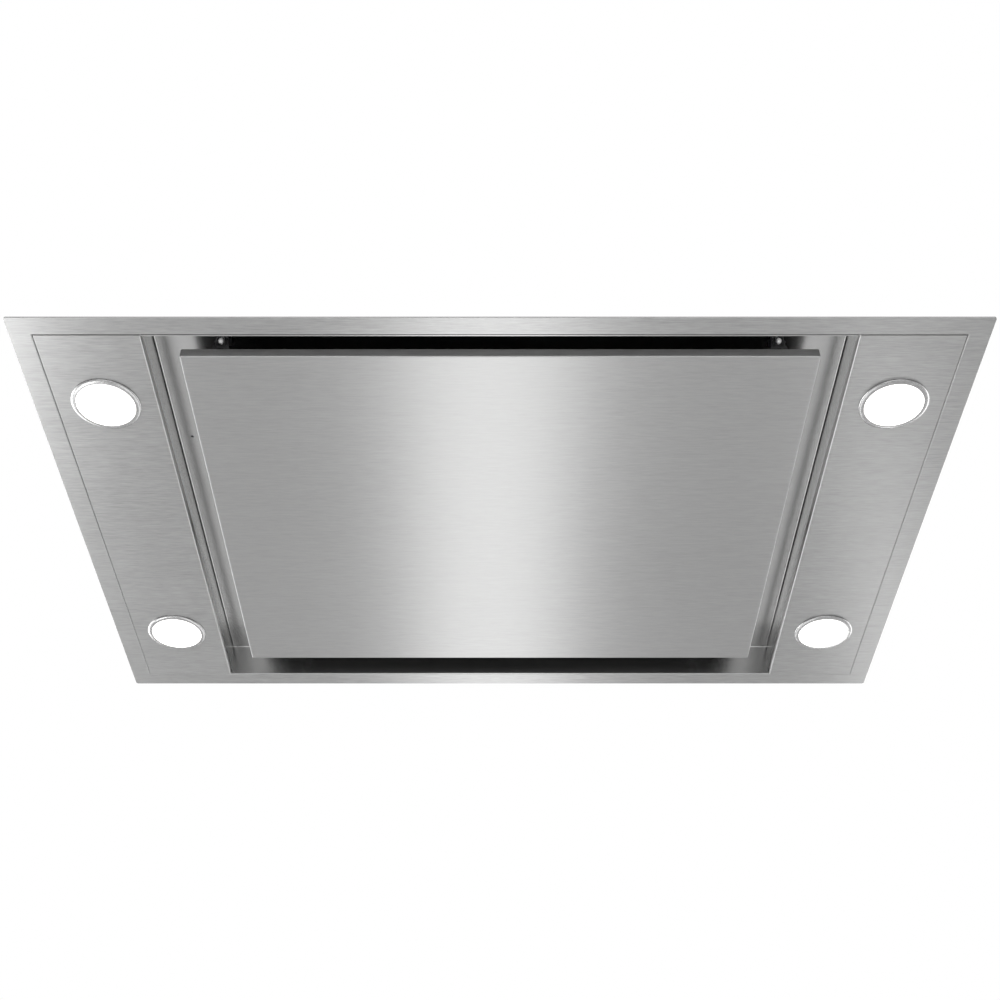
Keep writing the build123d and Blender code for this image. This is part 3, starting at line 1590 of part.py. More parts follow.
# ---------------------------------------------------------------- screws
def screw_seats():
    """Planes under the heads of the fixed screws, each facing out of its head."""
    seats = [Plane(origin=(x, y, base_top + casing_sheet)) for x, y in casing_screws]
    seats += [Plane(origin=(x, y, casing_top + cover_sheet)) for x, y in cover_screws]
    seats += [Plane(origin=(x, y, blower_top + scroll_wall)) for x, y in scroll_screws]
    seats += [Plane(origin=(x, y, bracket_z + bracket_sheet)) for x, y in mount_places]
    seats += [Plane(origin=(x, y, base_top + hanger_sheet)) for x, y in hanger_screws]
    seats += [Plane(origin=(x, y, ceiling_z - ear_sheet), z_dir=(0, 0, -1)) for x, y in hinge_screws]
    seats += [Plane(origin=(x, y, ceiling_z - clip_sheet), z_dir=(0, 0, -1)) for x, y in clip_screws]
    seats += [Plane(origin=(duct_x + duct_flange, y, z), z_dir=(1, 0, 0)) for y, z in duct_screws]
    return seats


panel_seats = [Plane(origin=(x, y, panel_top + catch_foot_sheet)) for x, y in catch_feet]
panel_seats += [Plane(origin=(x, y, panel_top + arm_sheet)) for x, y in arm_screws]

for group, seats in {"housing_screws": screw_seats(), "panel_screws": panel_seats}.items():
    with BuildPart() as screws:
        with BuildSketch(*seats):
            Circle(screw_head_r)
        extrude(amount=screw_head)
        with BuildSketch(*seats):
            Circle(screw_r)
        extrude(amount=-screw_length)
        with BuildSketch(*[seat.offset(screw_head) for seat in seats]):
            RegularPolygon(screw_drive_r, 6)
        extrude(amount=-screw_drive_depth, mode=Mode.SUBTRACT)
    screws.part.label = group
    export_step(screws.part, f"parts/{group}.step")
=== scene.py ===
import math

import bmesh
import bpy
from bpy.props import FloatProperty, FloatVectorProperty, IntProperty, PointerProperty
from bpy.types import Operator, Panel, PropertyGroup
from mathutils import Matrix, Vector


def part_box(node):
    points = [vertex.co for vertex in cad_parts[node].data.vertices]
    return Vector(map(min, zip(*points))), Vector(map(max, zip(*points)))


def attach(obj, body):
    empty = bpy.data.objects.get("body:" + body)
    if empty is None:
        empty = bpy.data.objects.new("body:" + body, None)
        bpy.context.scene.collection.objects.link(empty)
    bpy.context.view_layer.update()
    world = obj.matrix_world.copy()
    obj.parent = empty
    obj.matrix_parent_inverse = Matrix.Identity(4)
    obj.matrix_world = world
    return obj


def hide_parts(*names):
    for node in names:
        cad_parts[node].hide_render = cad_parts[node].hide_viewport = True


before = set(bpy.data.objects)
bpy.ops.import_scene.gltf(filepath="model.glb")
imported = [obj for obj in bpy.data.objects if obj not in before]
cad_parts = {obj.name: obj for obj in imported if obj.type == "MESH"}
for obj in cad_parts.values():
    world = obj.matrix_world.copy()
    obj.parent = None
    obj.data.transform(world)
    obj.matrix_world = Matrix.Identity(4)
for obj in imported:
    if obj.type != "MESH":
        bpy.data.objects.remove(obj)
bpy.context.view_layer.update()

bl_info = {
    "name": "Flush ceiling hood finish",
    "version": (1, 0, 0),
    "blender": (4, 5, 0),
    "location": "View3D > Sidebar > Hood",
    "description": "Finishes the sheet metal, filters, lamps and fan of a flush ceiling hood",
    "category": "Object",
}

SIDES = ("left", "right")
LAMPS = ("front_left", "front_right", "rear_left", "rear_right")

# half length and half width of the housing, where it passes the stage's ceiling
CUTOUT_HALF = (0.4315, 0.2815)
# width of a knot of expanded metal across its strand, as a share of its length
KNOT_WIDTH = 0.7

# sockets of the mix node, whose data types share their names
VALUE_A, VALUE_B, VALUE_RESULT = 2, 3, 0
COLOUR_A, COLOUR_B, COLOUR_RESULT = 6, 7, 2

# how much plain white the camera sees in a backdrop, and how much mirrored rays see
FLOOR_SHARES = (0.92, 0.55)
FULL_SHARES = (1.0, 1.0)
WHITE = (1.0, 1.0, 1.0, 1.0)

# camera: width of the film in millimetres, and the nearest and farthest it sees in metres
SENSOR_WIDTH = 36.0
CLIP_START, CLIP_END = 0.01, 100.0
LEVEL_GAZE = math.radians(90.0)

SOFTBOXES = {
    # name: (place, rotation in degrees, width, depth, radiance)
    "strip": ((-0.03, 2.6, -1.95), (180.0, 0.0, 0.0), 0.5, 5.2, 2.3),
    "left_strip": ((-1.4, 0.8, -1.95), (180.0, 0.0, 13.6), 0.34, 1.5, 7.0),
    "right_strip": ((1.68, 3.9, -1.95), (180.0, 0.0, -17.0), 0.28, 2.3, 6.5),
    "front_strip": ((0.0, -3.4, -1.95), (180.0, 0.0, 0.0), 6.0, 1.8, 1.7),
    "left_floor": ((-4.0, 3.4, -1.95), (180.0, 0.0, 0.0), 3.0, 5.0, 5.0),
    "right_floor": ((4.4, 3.4, -1.95), (180.0, 0.0, 0.0), 2.6, 5.0, 3.4),
    "near_box": ((0.0, -4.6, -1.1), (90.0, 0.0, 0.0), 5.0, 1.9, 1.9),
    "left_box": ((-5.0, 3.5, -1.1), (90.0, 0.0, -90.0), 8.0, 1.9, 4.0),
    "right_box": ((5.0, 3.5, -1.1), (90.0, 0.0, 90.0), 8.0, 1.9, 3.0),
}

STAINLESS_SHEETS = {
    # material: (tone setting, roughness range, anisotropy, relief in metres, CAD nodes)
    "brushed_stainless": (
        "steel", (0.33, 0.4), 0.9, 0.00001, ("face_frame", "light_panel_left", "light_panel_right")
    ),
    "fine_brushed_stainless": ("panel", (0.33, 0.39), 0.9, 0.00001, ("centre_panel",)),
    # the recess tray is the same stainless as the face, smoother, with lighter tones: the lighter
    # tone is painted light that lifts the recess out of its shade
    "satin_stainless_painted_light": ("recess", (0.25, 0.27), 0.4, 0.000002, ("recess_tray",)),
}

MACHINED_TONES = {
    # material: (dark tone, light tone, roughness range)
    "satin_chrome": ((0.3, 0.3, 0.3), (0.38, 0.38, 0.38), (0.22, 0.3)),
    "cast_heat_sink": ((0.34, 0.34, 0.35), (0.46, 0.46, 0.47), (0.45, 0.6)),
    "spring_leaf": ((0.2, 0.2, 0.21), (0.32, 0.32, 0.33), (0.25, 0.35)),
    "zinc_plated": ((0.36, 0.36, 0.365), (0.5, 0.5, 0.505), (0.28, 0.4)),
    "wheel_sheet": ((0.36, 0.37, 0.38), (0.5, 0.51, 0.52), (0.32, 0.45)),
    "motor_steel": ((0.3, 0.3, 0.31), (0.42, 0.42, 0.43), (0.3, 0.42)),
}

MOULDED_GRAINS = {
    # material: (roughness range, grain scale)
    "black_plastic": ((0.42, 0.55), 900.0),
    "grey_plastic": ((0.42, 0.55), 900.0),
    "white_plastic": ((0.3, 0.42), 900.0),
    "black_rubber": ((0.7, 0.8), 400.0),
    "cable_sheath": ((0.4, 0.5), 1200.0),
}
RUBBER_TONE = (0.03, 0.03, 0.03)
SHEATH_TONE = (0.55, 0.55, 0.55)
OPAL_TONES = ((0.95, 0.93, 0.9), (1.0, 0.99, 0.97))


# ---------------------------------------------------------------- settings that a user changes
def colour(name, description, value):
    """Colour property of one finish."""
    return FloatVectorProperty(
        name=name, description=description, default=value, size=3, min=0.0, max=1.0, subtype="COLOR"
    )


def length(name, description, value, low=0.0, high=10.0):
    """Length property in metres."""
    return FloatProperty(
        name=name,
        description=description,
        default=value,
        min=low,
        max=high,
        unit="LENGTH",
        subtype="DISTANCE",
    )


def position(name, description, value):
    """Coordinate property in metres."""
    return FloatProperty(name=name, description=description, default=value, unit="LENGTH")


class HoodMetals(PropertyGroup):
    """Colours of the bare and coated metals."""

    steel: colour("Stainless", "Light tone of the frame and light panels", (0.389, 0.389, 0.388))
    steel_low: colour("Stainless, dark", "Dark tone between their lines", (0.287, 0.287, 0.286))
    panel: colour("Drop panel", "Light tone of the drop panel", (0.357, 0.357, 0.356))
    panel_low: colour("Drop panel, dark", "Dark tone between its lines", (0.308, 0.308, 0.307))
    # the recess tones are lighter than the face steel's: painted light against the shade in the
    # recess; its smoother finish lies in its roughness
    recess: colour("Recess", "Light tone of the smoother steel in the recess", (0.41, 0.41, 0.408))
    recess_low: colour("Recess, dark", "Dark tone between its lines", (0.385, 0.385, 0.383))
    zinc: colour("Galvanised", "Light crystal of the galvanised sheet", (0.47, 0.485, 0.5))
    zinc_low: colour("Galvanised, dark", "Dark crystal of the same sheet", (0.36, 0.372, 0.385))
    aluminium: colour("Aluminium", "Mill finish of the filters", (0.56, 0.565, 0.57))
    aluminium_low: colour("Aluminium, dark", "Its rolling streaks", (0.4, 0.405, 0.41))
    # the black coating also covers the panel backing, where it is painted shade in the gaps round
    # the drop panel
    coated: colour("Black coating", "Brackets, hinges and panel backing", (0.022, 0.022, 0.023))
    coated_low: colour("Black coating, thin", "Thin places in the coating", (0.05, 0.05, 0.05))


class HoodMoulded(PropertyGroup):
    """Colours of the plastics, foam, boards and windings."""

    black: colour("Black plastic", "Moulded black housings", (0.028, 0.028, 0.03))
    grey: colour("Grey plastic", "Moulded grey scroll and flaps", (0.3, 0.305, 0.31))
    white: colour("White plastic", "Ball studs and the lamp driver's case", (0.93, 0.93, 0.92))
    foam: colour("Foam", "Closed-cell seal", (0.055, 0.055, 0.056))
    board: colour("Circuit board", "Solder mask of the boards", (0.02, 0.12, 0.045))
    copper: colour("Winding", "Enamelled copper wire", (0.45, 0.19, 0.07))


class HoodMesh(PropertyGroup):
    """Sizes of the expanded aluminium in the grease filters."""

    cell_length: length("Cell length", "Long way of one diamond", 0.0125)
    cell_width: length("Cell width", "Short way of one diamond", 0.0062)
    strand: length("Strand", "Half width of the strand where strands meet", 0.0011)
    sheet: length("Sheet", "Thickness of the expanded sheet", 0.0004)
    lift: length("Lift", "How far the strands lean out of the sheet", 0.0005)
    layers: IntProperty(
        name="Layers", description="Expanded sheets in one filter", default=2, min=1, max=4
    )
    notch_half: length("Notch", "Half width kept free for the latch housing", 0.0226)
    notch_depth: length("Notch depth", "Depth kept free for the latch housing", 0.0368)


class HoodStage(PropertyGroup):
    """Camera, floor, ceiling and soft light."""

    camera_y: position("Camera Y", "Camera place along Y", -1.124)
    camera_z: position("Camera Z", "Camera place along Z", -0.9265)
    camera_pitch: FloatProperty(
        name="Pitch",
        description="Upward tilt of the camera",
        default=math.radians(40.8),
        subtype="ANGLE",
    )
    lens: FloatProperty(
        name="Lens", description="Focal length in millimetres", default=49.0, min=1.0
    )
    floor_z: position("Floor", "Level of the floor", -2.2)
    floor_size: length("Floor size", "Side of the square floor", 30.0, 1.0, 100.0)
    ceiling_z: position("Ceiling", "Level of the ceiling", 0.0072)
    ceiling_size: length("Ceiling size", "Side of the square ceiling", 4.4, 1.2, 100.0)
    ceiling_gap: length("Ceiling gap", "Gap between cut-out and housing", 0.002, 0.0, 0.1)
    floor_tone: colour("Floor tone", "Pale colour of the floor and ceiling", (0.82, 0.82, 0.82))
    world_tone: colour("World tone", "Soft light from all round", (0.64, 0.64, 0.64))


# ---------------------------------------------------------------- node helpers
def node(tree, kind, inputs=None, **settings):
    """Adds a node; each of its inputs takes a constant or another node's socket."""
    made = tree.nodes.new(kind)
    for key, value in settings.items():
        setattr(made, key, value)
    for key, value in (inputs or {}).items():
        if isinstance(value, bpy.types.NodeSocket):
            tree.links.new(value, made.inputs[key])
        else:
            made.inputs[key].default_value = value
    return made


def rgba(tone):
    """Colour with full alpha."""
    return (*tone[:3], 1.0)


def noise(tree, vector, scale, detail, roughness=0.5):
    """Noise texture read at a vector socket."""
    inputs = {"Vector": vector, "Scale": scale, "Detail": detail, "Roughness": roughness}
    return node(tree, "ShaderNodeTexNoise", inputs).outputs["Fac"]


def ramp(tree, value, low, high):
    """Maps a range of values to 0 to 1, held at the ends."""
    inputs = {"Value": value, "From Min": low, "From Max": high}
    return node(tree, "ShaderNodeMapRange", inputs).outputs["Result"]


def blend(tree, first, second, share):
    """Value between two sockets, with a fixed share of the second."""
    inputs = {"Factor": share, VALUE_A: first, VALUE_B: second}
    return node(tree, "ShaderNodeMix", inputs, data_type="FLOAT").outputs[VALUE_RESULT]


def maths(tree, operation, first, second):
    """Result of one operation on two numbers or sockets."""
    return node(tree, "ShaderNodeMath", {0: first, 1: second}, operation=operation).outputs[0]


def vector_maths(tree, operation, inputs):
    """Result of one operation on vectors."""
    return node(tree, "ShaderNodeVectorMath", inputs, operation=operation).outputs[0]


# ---------------------------------------------------------------- shared effects
TONE_INPUTS = (
    ("Low colour", "NodeSocketColor", (0.3, 0.3, 0.3, 1.0)),
    ("High colour", "NodeSocketColor", (0.4, 0.4, 0.4, 1.0)),
    ("Roughness low", "NodeSocketFloat", 0.3),
    ("Roughness high", "NodeSocketFloat", 0.4),
)
TONE_OUTPUTS = (
    ("Colour", "NodeSocketColor"),
    ("Roughness", "NodeSocketFloat"),
    ("Height", "NodeSocketFloat"),
)


def new_group(name, *own):
    """New node group with its own inputs and the tones; returns its tree, inputs and place."""
    tree = bpy.data.node_groups.new(name, "ShaderNodeTree")
    for label, kind, value in (*own, *TONE_INPUTS):
        socket = tree.interface.new_socket(label, in_out="INPUT", socket_type=kind)
        socket.default_value = value
    for label, kind in TONE_OUTPUTS:
        tree.interface.new_socket(label, in_out="OUTPUT", socket_type=kind)
    given = node(tree, "NodeGroupInput").outputs
    return tree, given, node(tree, "ShaderNodeTexCoord").outputs["Object"]


def two_tones(tree, given, mask):
    """Ends a group: its mask mixes its two colours and its two roughnesses, and is its height."""
    tones = {"Factor": mask, COLOUR_A: given["Low colour"], COLOUR_B: given["High colour"]}
    mixed = node(tree, "ShaderNodeMix", tones, data_type="RGBA").outputs[COLOUR_RESULT]
    range_ends = {"To Min": given["Roughness low"], "To Max": given["Roughness high"]}
    gloss = node(tree, "ShaderNodeMapRange", {"Value": mask, **range_ends}).outputs["Result"]
    node(tree, "NodeGroupOutput", {"Colour": mixed, "Roughness": gloss, "Height": mask})
    return tree


def build_brushed():
    """Fine parallel lines, long where the stretch is small, over a slow cloudy tone."""
    tree, given, place = new_group(
        "Brushed lines",
        ("Stretch", "NodeSocketVector", (6.0, 700.0, 700.0)),
        ("Cloud scale", "NodeSocketFloat", 3.0),
    )
    fine = vector_maths(tree, "MULTIPLY", {0: place, 1: given["Stretch"]})
    broad = vector_maths(tree, "SCALE", {0: fine, "Scale": 0.23})
    cloud = noise(tree, place, given["Cloud scale"], detail=2.0)
    fine_lines = noise(tree, fine, 1.0, detail=3.0, roughness=0.65)
    broad_lines = noise(tree, broad, 1.0, detail=2.0)
    lines = blend(tree, fine_lines, broad_lines, share=0.22)
    mask = ramp(tree, blend(tree, lines, cloud, share=0.14), low=0.34, high=0.66)
    return two_tones(tree, given, mask)


def build_spangle():
    """Crystals of a zinc coat: flat cells of differing tone with bent edges."""
    tree, given, place = new_group("Zinc crystals", ("Cell scale", "NodeSocketFloat", 60.0))
    waves = {"Vector": place, "Scale": 45.0, "Detail": 2.0}
    bend = node(tree, "ShaderNodeTexNoise", waves).outputs["Color"]
    shifted = vector_maths(tree, "MULTIPLY_ADD", {0: bend, 1: (0.012, 0.012, 0.012), 2: place})
    cells = {"Vector": shifted, "Scale": given["Cell scale"]}
    crystal = node(tree, "ShaderNodeTexVoronoi", cells, feature="F1").outputs["Color"]
    tone = node(tree, "ShaderNodeSeparateColor", {"Color": crystal}).outputs["Red"]
    mask = blend(tree, tone, noise(tree, place, 9.0, detail=3.0), share=0.4)
    return two_tones(tree, given, ramp(tree, mask, low=0.15, high=0.85))


def build_moulded():
    """Fine spark-eroded grain with slow changes of tone, for moulded, coated and lit parts."""
    tree, given, place = new_group("Moulded grain", ("Grain scale", "NodeSocketFloat", 900.0))
    grain = noise(tree, place, given["Grain scale"], detail=3.0, roughness=0.6)
    mask = blend(tree, grain, noise(tree, place, 14.0, detail=2.0), share=0.45)
    return two_tones(tree, given, ramp(tree, mask, low=0.3, high=0.7))


def build_cells():
    """Open cells of cut foam or a board's woven glass: small rounded pits."""
    tree, given, place = new_group("Small cells", ("Cell scale", "NodeSocketFloat", 700.0))
    cells = {"Vector": place, "Scale": given["Cell scale"]}
    pits = node(tree, "ShaderNodeTexVoronoi", cells, feature="SMOOTH_F1").outputs["Distance"]
    return two_tones(tree, given, ramp(tree, pits, low=0.1, high=0.7))


BUILDERS = {
    "Brushed lines": build_brushed,
    "Zinc crystals": build_spangle,
    "Moulded grain": build_moulded,
    "Small cells": build_cells,
}


def effect(name):
    """The shared node group of that name, built once."""
    return bpy.data.node_groups.get(name) or BUILDERS[name]()


# ---------------------------------------------------------------- finishes
METAL = {"Metallic": 1.0}
NON_METAL = {"Metallic": 0.0}


def finish_material(
    name, group, tones, roughness, sizes, shader, bump=0.0, turned=False, lit=False
):
    """Material of one shared group, made once; the constants stay on its shader."""
    made = bpy.data.materials.get(name)
    if made:
        return made
    made = bpy.data.materials.new(name)
    made.use_nodes = True
    tree = made.node_tree
    tree.nodes.clear()
    settings = {
        "Low colour": rgba(tones[0]),
        "High colour": rgba(tones[1]),
        "Roughness low": roughness[0],
        "Roughness high": roughness[1],
        **sizes,
    }
    pattern = node(tree, "ShaderNodeGroup", settings, node_tree=effect(group)).outputs
    inputs = {"Base Color": pattern["Colour"], "Roughness": pattern["Roughness"], **shader}
    if lit:
        inputs["Emission Color"] = pattern["Colour"]
    if bump:
        relief = {"Strength": 1.0, "Distance": bump, "Height": pattern["Height"]}
        inputs["Normal"] = node(tree, "ShaderNodeBump", relief).outputs["Normal"]
    if turned:
        round_x = node(tree, "ShaderNodeTangent", direction_type="RADIAL", axis="X")
        inputs["Tangent"] = round_x.outputs["Tangent"]
    body = node(tree, "ShaderNodeBsdfPrincipled", inputs)
    node(tree, "ShaderNodeOutputMaterial", {"Surface": body.outputs["BSDF"]})
    return made


def shaded(tone, share):
    """The tone darkened to a share of its light, and the tone itself."""
    return [channel * share for channel in tone], tone


def dress(material, *names):
    """Puts one material on every slot of these CAD nodes."""
    for name in names:
        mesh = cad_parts[name].data
        if not mesh.materials:
            mesh.materials.append(material)
        for index in range(len(mesh.materials)):
            mesh.materials[index] = material


def stainless(name, tones, roughness, anisotropy, bump):
    """Brushed stainless sheet, with its lines along the hood."""
    return finish_material(
        name,
        "Brushed lines",
        tones,
        roughness,
        {"Stretch": (56.0, 740.0, 740.0), "Cloud scale": 2.2},
        {"Anisotropic": anisotropy, **METAL},
        bump=bump,
        turned=True,
    )


def galvanised():
    """Galvanised sheet of the housing and the fan casing."""
    tones = bpy.context.scene.hood_metals
    return finish_material(
        "galvanised_sheet",
        "Zinc crystals",
        (tones.zinc_low, tones.zinc),
        (0.38, 0.5),
        {"Cell scale": 130.0},
        METAL,
        bump=0.00002,
    )


def aluminium():
    """Rolled aluminium of the filter frames and strands."""
    tones = bpy.context.scene.hood_metals
    return finish_material(
        "rolled_aluminium",
        "Brushed lines",
        (tones.aluminium_low, tones.aluminium),
        (0.3, 0.42),
        {"Stretch": (500.0, 9.0, 500.0), "Cloud scale": 8.0},
        METAL,
        bump=0.00001,
    )


def machined(name):
    """Turned, cast or plated metal of the small parts."""
    low, high, roughness = MACHINED_TONES[name]
    return finish_material(
        name,
        "Brushed lines",
        (low, high),
        roughness,
        {"Stretch": (120.0, 120.0, 900.0), "Cloud scale": 20.0},
        METAL,
        bump=0.00001,
    )


def moulded(name, tone):
    """Moulded plastic or rubber of one colour."""
    roughness, grain = MOULDED_GRAINS[name]
    return finish_material(
        name,
        "Moulded grain",
        shaded(tone, 0.8),
        roughness,
        {"Grain scale": grain},
        NON_METAL,
        bump=0.00004,
    )


def black_coating_and_shade():
    """Dull black coating of the brackets and the hinges; on the panel's backing the same black is
    painted shade that darkens the gaps round the drop panel.
    """
    tones = bpy.context.scene.hood_metals
    return finish_material(
        "black_coating_and_shade",
        "Moulded grain",
        (tones.coated, tones.coated_low),
        (0.35, 0.55),
        {"Grain scale": 500.0},
        NON_METAL,
        bump=0.00003,
    )


def white_nylon():
    """Glossy white nylon of the ball studs."""
    return finish_material(
        "white_nylon",
        "Moulded grain",
        shaded(bpy.context.scene.hood_moulded.white, 0.9),
        (0.28, 0.38),
        {"Grain scale": 900.0},
        {"Coat Weight": 1.0, "Coat IOR": 2.2, "Coat Roughness": 0.1, **NON_METAL},
    )


def seal_foam():
    """Closed-cell foam of the seals, with its cut cells showing."""
    return finish_material(
        "seal_foam",
        "Small cells",
        shaded(bpy.context.scene.hood_moulded.foam, 0.5),
        (0.85, 0.95),
        {"Cell scale": 600.0},
        NON_METAL,
        bump=0.0003,
    )


def circuit_board():
    """Green solder mask over woven glass."""
    return finish_material(
        "circuit_board",
        "Small cells",
        shaded(bpy.context.scene.hood_moulded.board, 0.6),
        (0.3, 0.45),
        {"Cell scale": 900.0},
        {"Coat Weight": 0.4, **NON_METAL},
        bump=0.00002,
    )


def wound_copper():
    """Enamelled wire of the motor's winding."""
    return finish_material(
        "wound_copper",
        "Brushed lines",
        shaded(bpy.context.scene.hood_moulded.copper, 0.5),
        (0.25, 0.4),
        {"Stretch": (60.0, 60.0, 1500.0), "Cloud scale": 30.0},
        METAL,
        bump=0.0001,
    )


def opal_glow():
    """Lit opal lens, with a faint warm grain in its light."""
    return finish_material(
        "opal_lens",
        "Moulded grain",
        OPAL_TONES,
        (0.3, 0.4),
        {"Grain scale": 260.0},
        {"Emission Strength": 1.6},
        lit=True,
    )


# ---------------------------------------------------------------- meshes
def mesh_object(name, bm, material):
    """Object made from a bmesh, with one material, in the scene."""
    mesh = bpy.data.meshes.new(name)
    bm.to_mesh(mesh)
    bm.free()
    mesh.materials.append(material)
    made = bpy.data.objects.new(name, mesh)
    bpy.context.scene.collection.objects.link(made)
    return made


def new_piece(name, bm, material, body):
    """Object from a bmesh, riding on a body and taking the given material."""
    bm.normal_update()
    piece = mesh_object(name, bm, material)
    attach(piece, body)
    return piece


def expanded_sheet(bm, low, high, level, sizes, offset):
    """Adds one expanded metal sheet: knots on a staggered grid, joined by four strands each."""
    half_x, half_y = sizes.cell_length / 2, sizes.cell_width / 2
    columns = int((high.x - low.x) / half_x) - 1
    rows = int((high.y - low.y) / half_y) - 1
    start_x = (low.x + high.x - columns * half_x) / 2
    start_y = (low.y + high.y - rows * half_y) / 2
    middle = (low.x + high.x) / 2
    notch_end = low.y + sizes.notch_depth
    arm_x, arm_y = sizes.strand, sizes.strand * KNOT_WIDTH
    corners = (
        (arm_x, 0, 0),
        (0, arm_y, sizes.lift),
        (-arm_x, 0, 0),
        (0, -arm_y, -sizes.lift),
    )
    knots = {}
    for column in range(columns + 1):
        for row in range(rows + 1):
            x, y = start_x + column * half_x, start_y + row * half_y
            in_notch = abs(x - middle) <= sizes.notch_half and y <= notch_end
            if (column + row + offset) % 2 or in_notch:
                continue
            places = [(x + dx, y + dy, level + dz) for dx, dy, dz in corners]
            knots[column, row] = [bm.verts.new(place) for place in places]
    for (column, row), (right, top, left, bottom) in knots.items():
        bm.faces.new((right, top, left, bottom))
        ahead = knots.get((column + 1, row + 1))
        if ahead:
            _, _, ahead_left, ahead_bottom = ahead
            bm.faces.new((right, ahead_bottom, ahead_left, top))
        behind = knots.get((column - 1, row + 1))
        if behind:
            behind_right, _, _, behind_bottom = behind
            bm.faces.new((top, behind_right, behind_bottom, left))


# ---------------------------------------------------------------- stage helpers
def shine_through(tree, output, plain, shown, shares):
    """Ends a stage shader: shares of one shader to camera and mirrored rays, else the plain one."""
    seen, mirrored = shares
    path = node(tree, "ShaderNodeLightPath").outputs
    direct = maths(tree, "MULTIPLY", path["Is Camera Ray"], seen)
    either = maths(tree, "MAXIMUM", path["Is Glossy Ray"], path["Is Transmission Ray"])
    scaled = maths(tree, "MULTIPLY", either, mirrored)
    share = maths(tree, "MAXIMUM", direct, scaled)
    mix = node(tree, "ShaderNodeMixShader", {0: share, 1: plain.outputs[0], 2: shown.outputs[0]})
    node(tree, output, {"Surface": mix.outputs[0]})


def backdrop_paint(name, tone, shares):
    """Matt paint that shows plain white in the given shares."""
    paint = bpy.data.materials.new(name)
    paint.use_nodes = True
    tree = paint.node_tree
    tree.nodes.clear()
    matt = node(tree, "ShaderNodeBsdfDiffuse", {"Color": rgba(tone)})
    white = node(tree, "ShaderNodeEmission", {"Color": WHITE, "Strength": 1.0})
    shine_through(tree, "ShaderNodeOutputMaterial", matt, white, shares)
    return paint


def backdrop(name, half, level, tone, shares, hole=None):
    """Level square of the studio, with a rectangular hole if asked."""
    bm = bmesh.new()
    turn = ((-1, -1), (1, -1), (1, 1), (-1, 1))
    rim = [bm.verts.new((x * half, y * half, level)) for x, y in turn]
    if hole:
        edge = [bm.verts.new((x * hole[0], y * hole[1], level)) for x, y in turn]
        for here in range(len(turn)):
            ahead = (here + 1) % len(turn)
            bm.faces.new((rim[here], rim[ahead], edge[ahead], edge[here]))
    else:
        bm.faces.new(rim)
    sheet = mesh_object(name, bm, backdrop_paint(f"{name}_paint", tone, shares))


def softbox(scene, name, place, turn, width, depth, radiance):
    """Area light that the camera doesn't see, with the power of its radiance."""
    lamp = bpy.data.lights.new(name, "AREA")
    lamp.shape = "RECTANGLE"
    lamp.size, lamp.size_y = width, depth
    lamp.energy = radiance * math.pi * width * depth
    holder = bpy.data.objects.new(name, lamp)
    scene.collection.objects.link(holder)
    holder.location = place
    holder.rotation_euler = [math.radians(angle) for angle in turn]
    holder.visible_camera = False


# ---------------------------------------------------------------- operators
class HoodOperator:
    """Common settings of the hood's operators."""

    bl_options = {"REGISTER", "UNDO"}


class HOOD_OT_stage(HoodOperator, Operator):
    """Set the camera, the pale floor and ceiling, the world and the soft lights"""

    bl_idname = "hood.stage"
    bl_label = "Stage"

    def execute(self, context):
        scene = context.scene
        stage = scene.hood_stage
        camera = bpy.data.objects.new("camera", bpy.data.cameras.new("camera"))
        scene.collection.objects.link(camera)
        camera.location = (0.0, stage.camera_y, stage.camera_z)
        camera.rotation_euler = (LEVEL_GAZE + stage.camera_pitch, 0.0, 0.0)
        camera.data.lens = stage.lens
        camera.data.sensor_width = SENSOR_WIDTH
        camera.data.clip_start, camera.data.clip_end = CLIP_START, CLIP_END
        scene.camera = camera

        half = stage.floor_size / 2
        backdrop("floor", half, stage.floor_z, stage.floor_tone, FLOOR_SHARES)
        cutout = tuple(reach + stage.ceiling_gap for reach in CUTOUT_HALF)
        half = stage.ceiling_size / 2
        backdrop("ceiling", half, stage.ceiling_z, stage.floor_tone, FULL_SHARES, cutout)

        world = bpy.data.worlds.new("studio")
        world.use_nodes = True
        scene.world = world
        tree = world.node_tree
        tree.nodes.clear()
        soft_light = {"Color": rgba(stage.world_tone), "Strength": 1.0}
        soft = node(tree, "ShaderNodeBackground", soft_light)
        white = node(tree, "ShaderNodeBackground", {"Color": WHITE, "Strength": 1.0})
        shine_through(tree, "ShaderNodeOutputWorld", soft, white, FULL_SHARES)

        for name, settings in SOFTBOXES.items():
            softbox(scene, name, *settings)
        scene.view_settings.view_transform = "Standard"
        return {"FINISHED"}


class HOOD_OT_face(HoodOperator, Operator):
    """Finish the frame, the light panels, the recess and the drop panel in brushed stainless"""

    bl_idname = "hood.face"
    bl_label = "Visible stainless sheets"

    def execute(self, context):
        tones = context.scene.hood_metals
        for name, (setting, roughness, anisotropy, relief, sheets) in STAINLESS_SHEETS.items():
            low, high = getattr(tones, f"{setting}_low"), getattr(tones, setting)
            dress(stainless(name, (low, high), roughness, anisotropy, relief), *sheets)
        return {"FINISHED"}


class HOOD_OT_lamps(HoodOperator, Operator):
    """Finish the four lamps: bezels, lit lenses, heat sinks, springs and boards"""

    bl_idname = "hood.lamps"
    bl_label = "Lamps"

    def execute(self, context):
        dress(machined("satin_chrome"), *[f"lamp_bezel_{place}" for place in LAMPS])
        dress(opal_glow(), "lamp_lenses")
        dress(machined("cast_heat_sink"), "lamp_bodies")
        dress(machined("spring_leaf"), "lamp_springs", "latch_springs", "catch_clips")
        dress(circuit_board(), "led_boards", "control_board")
        return {"FINISHED"}


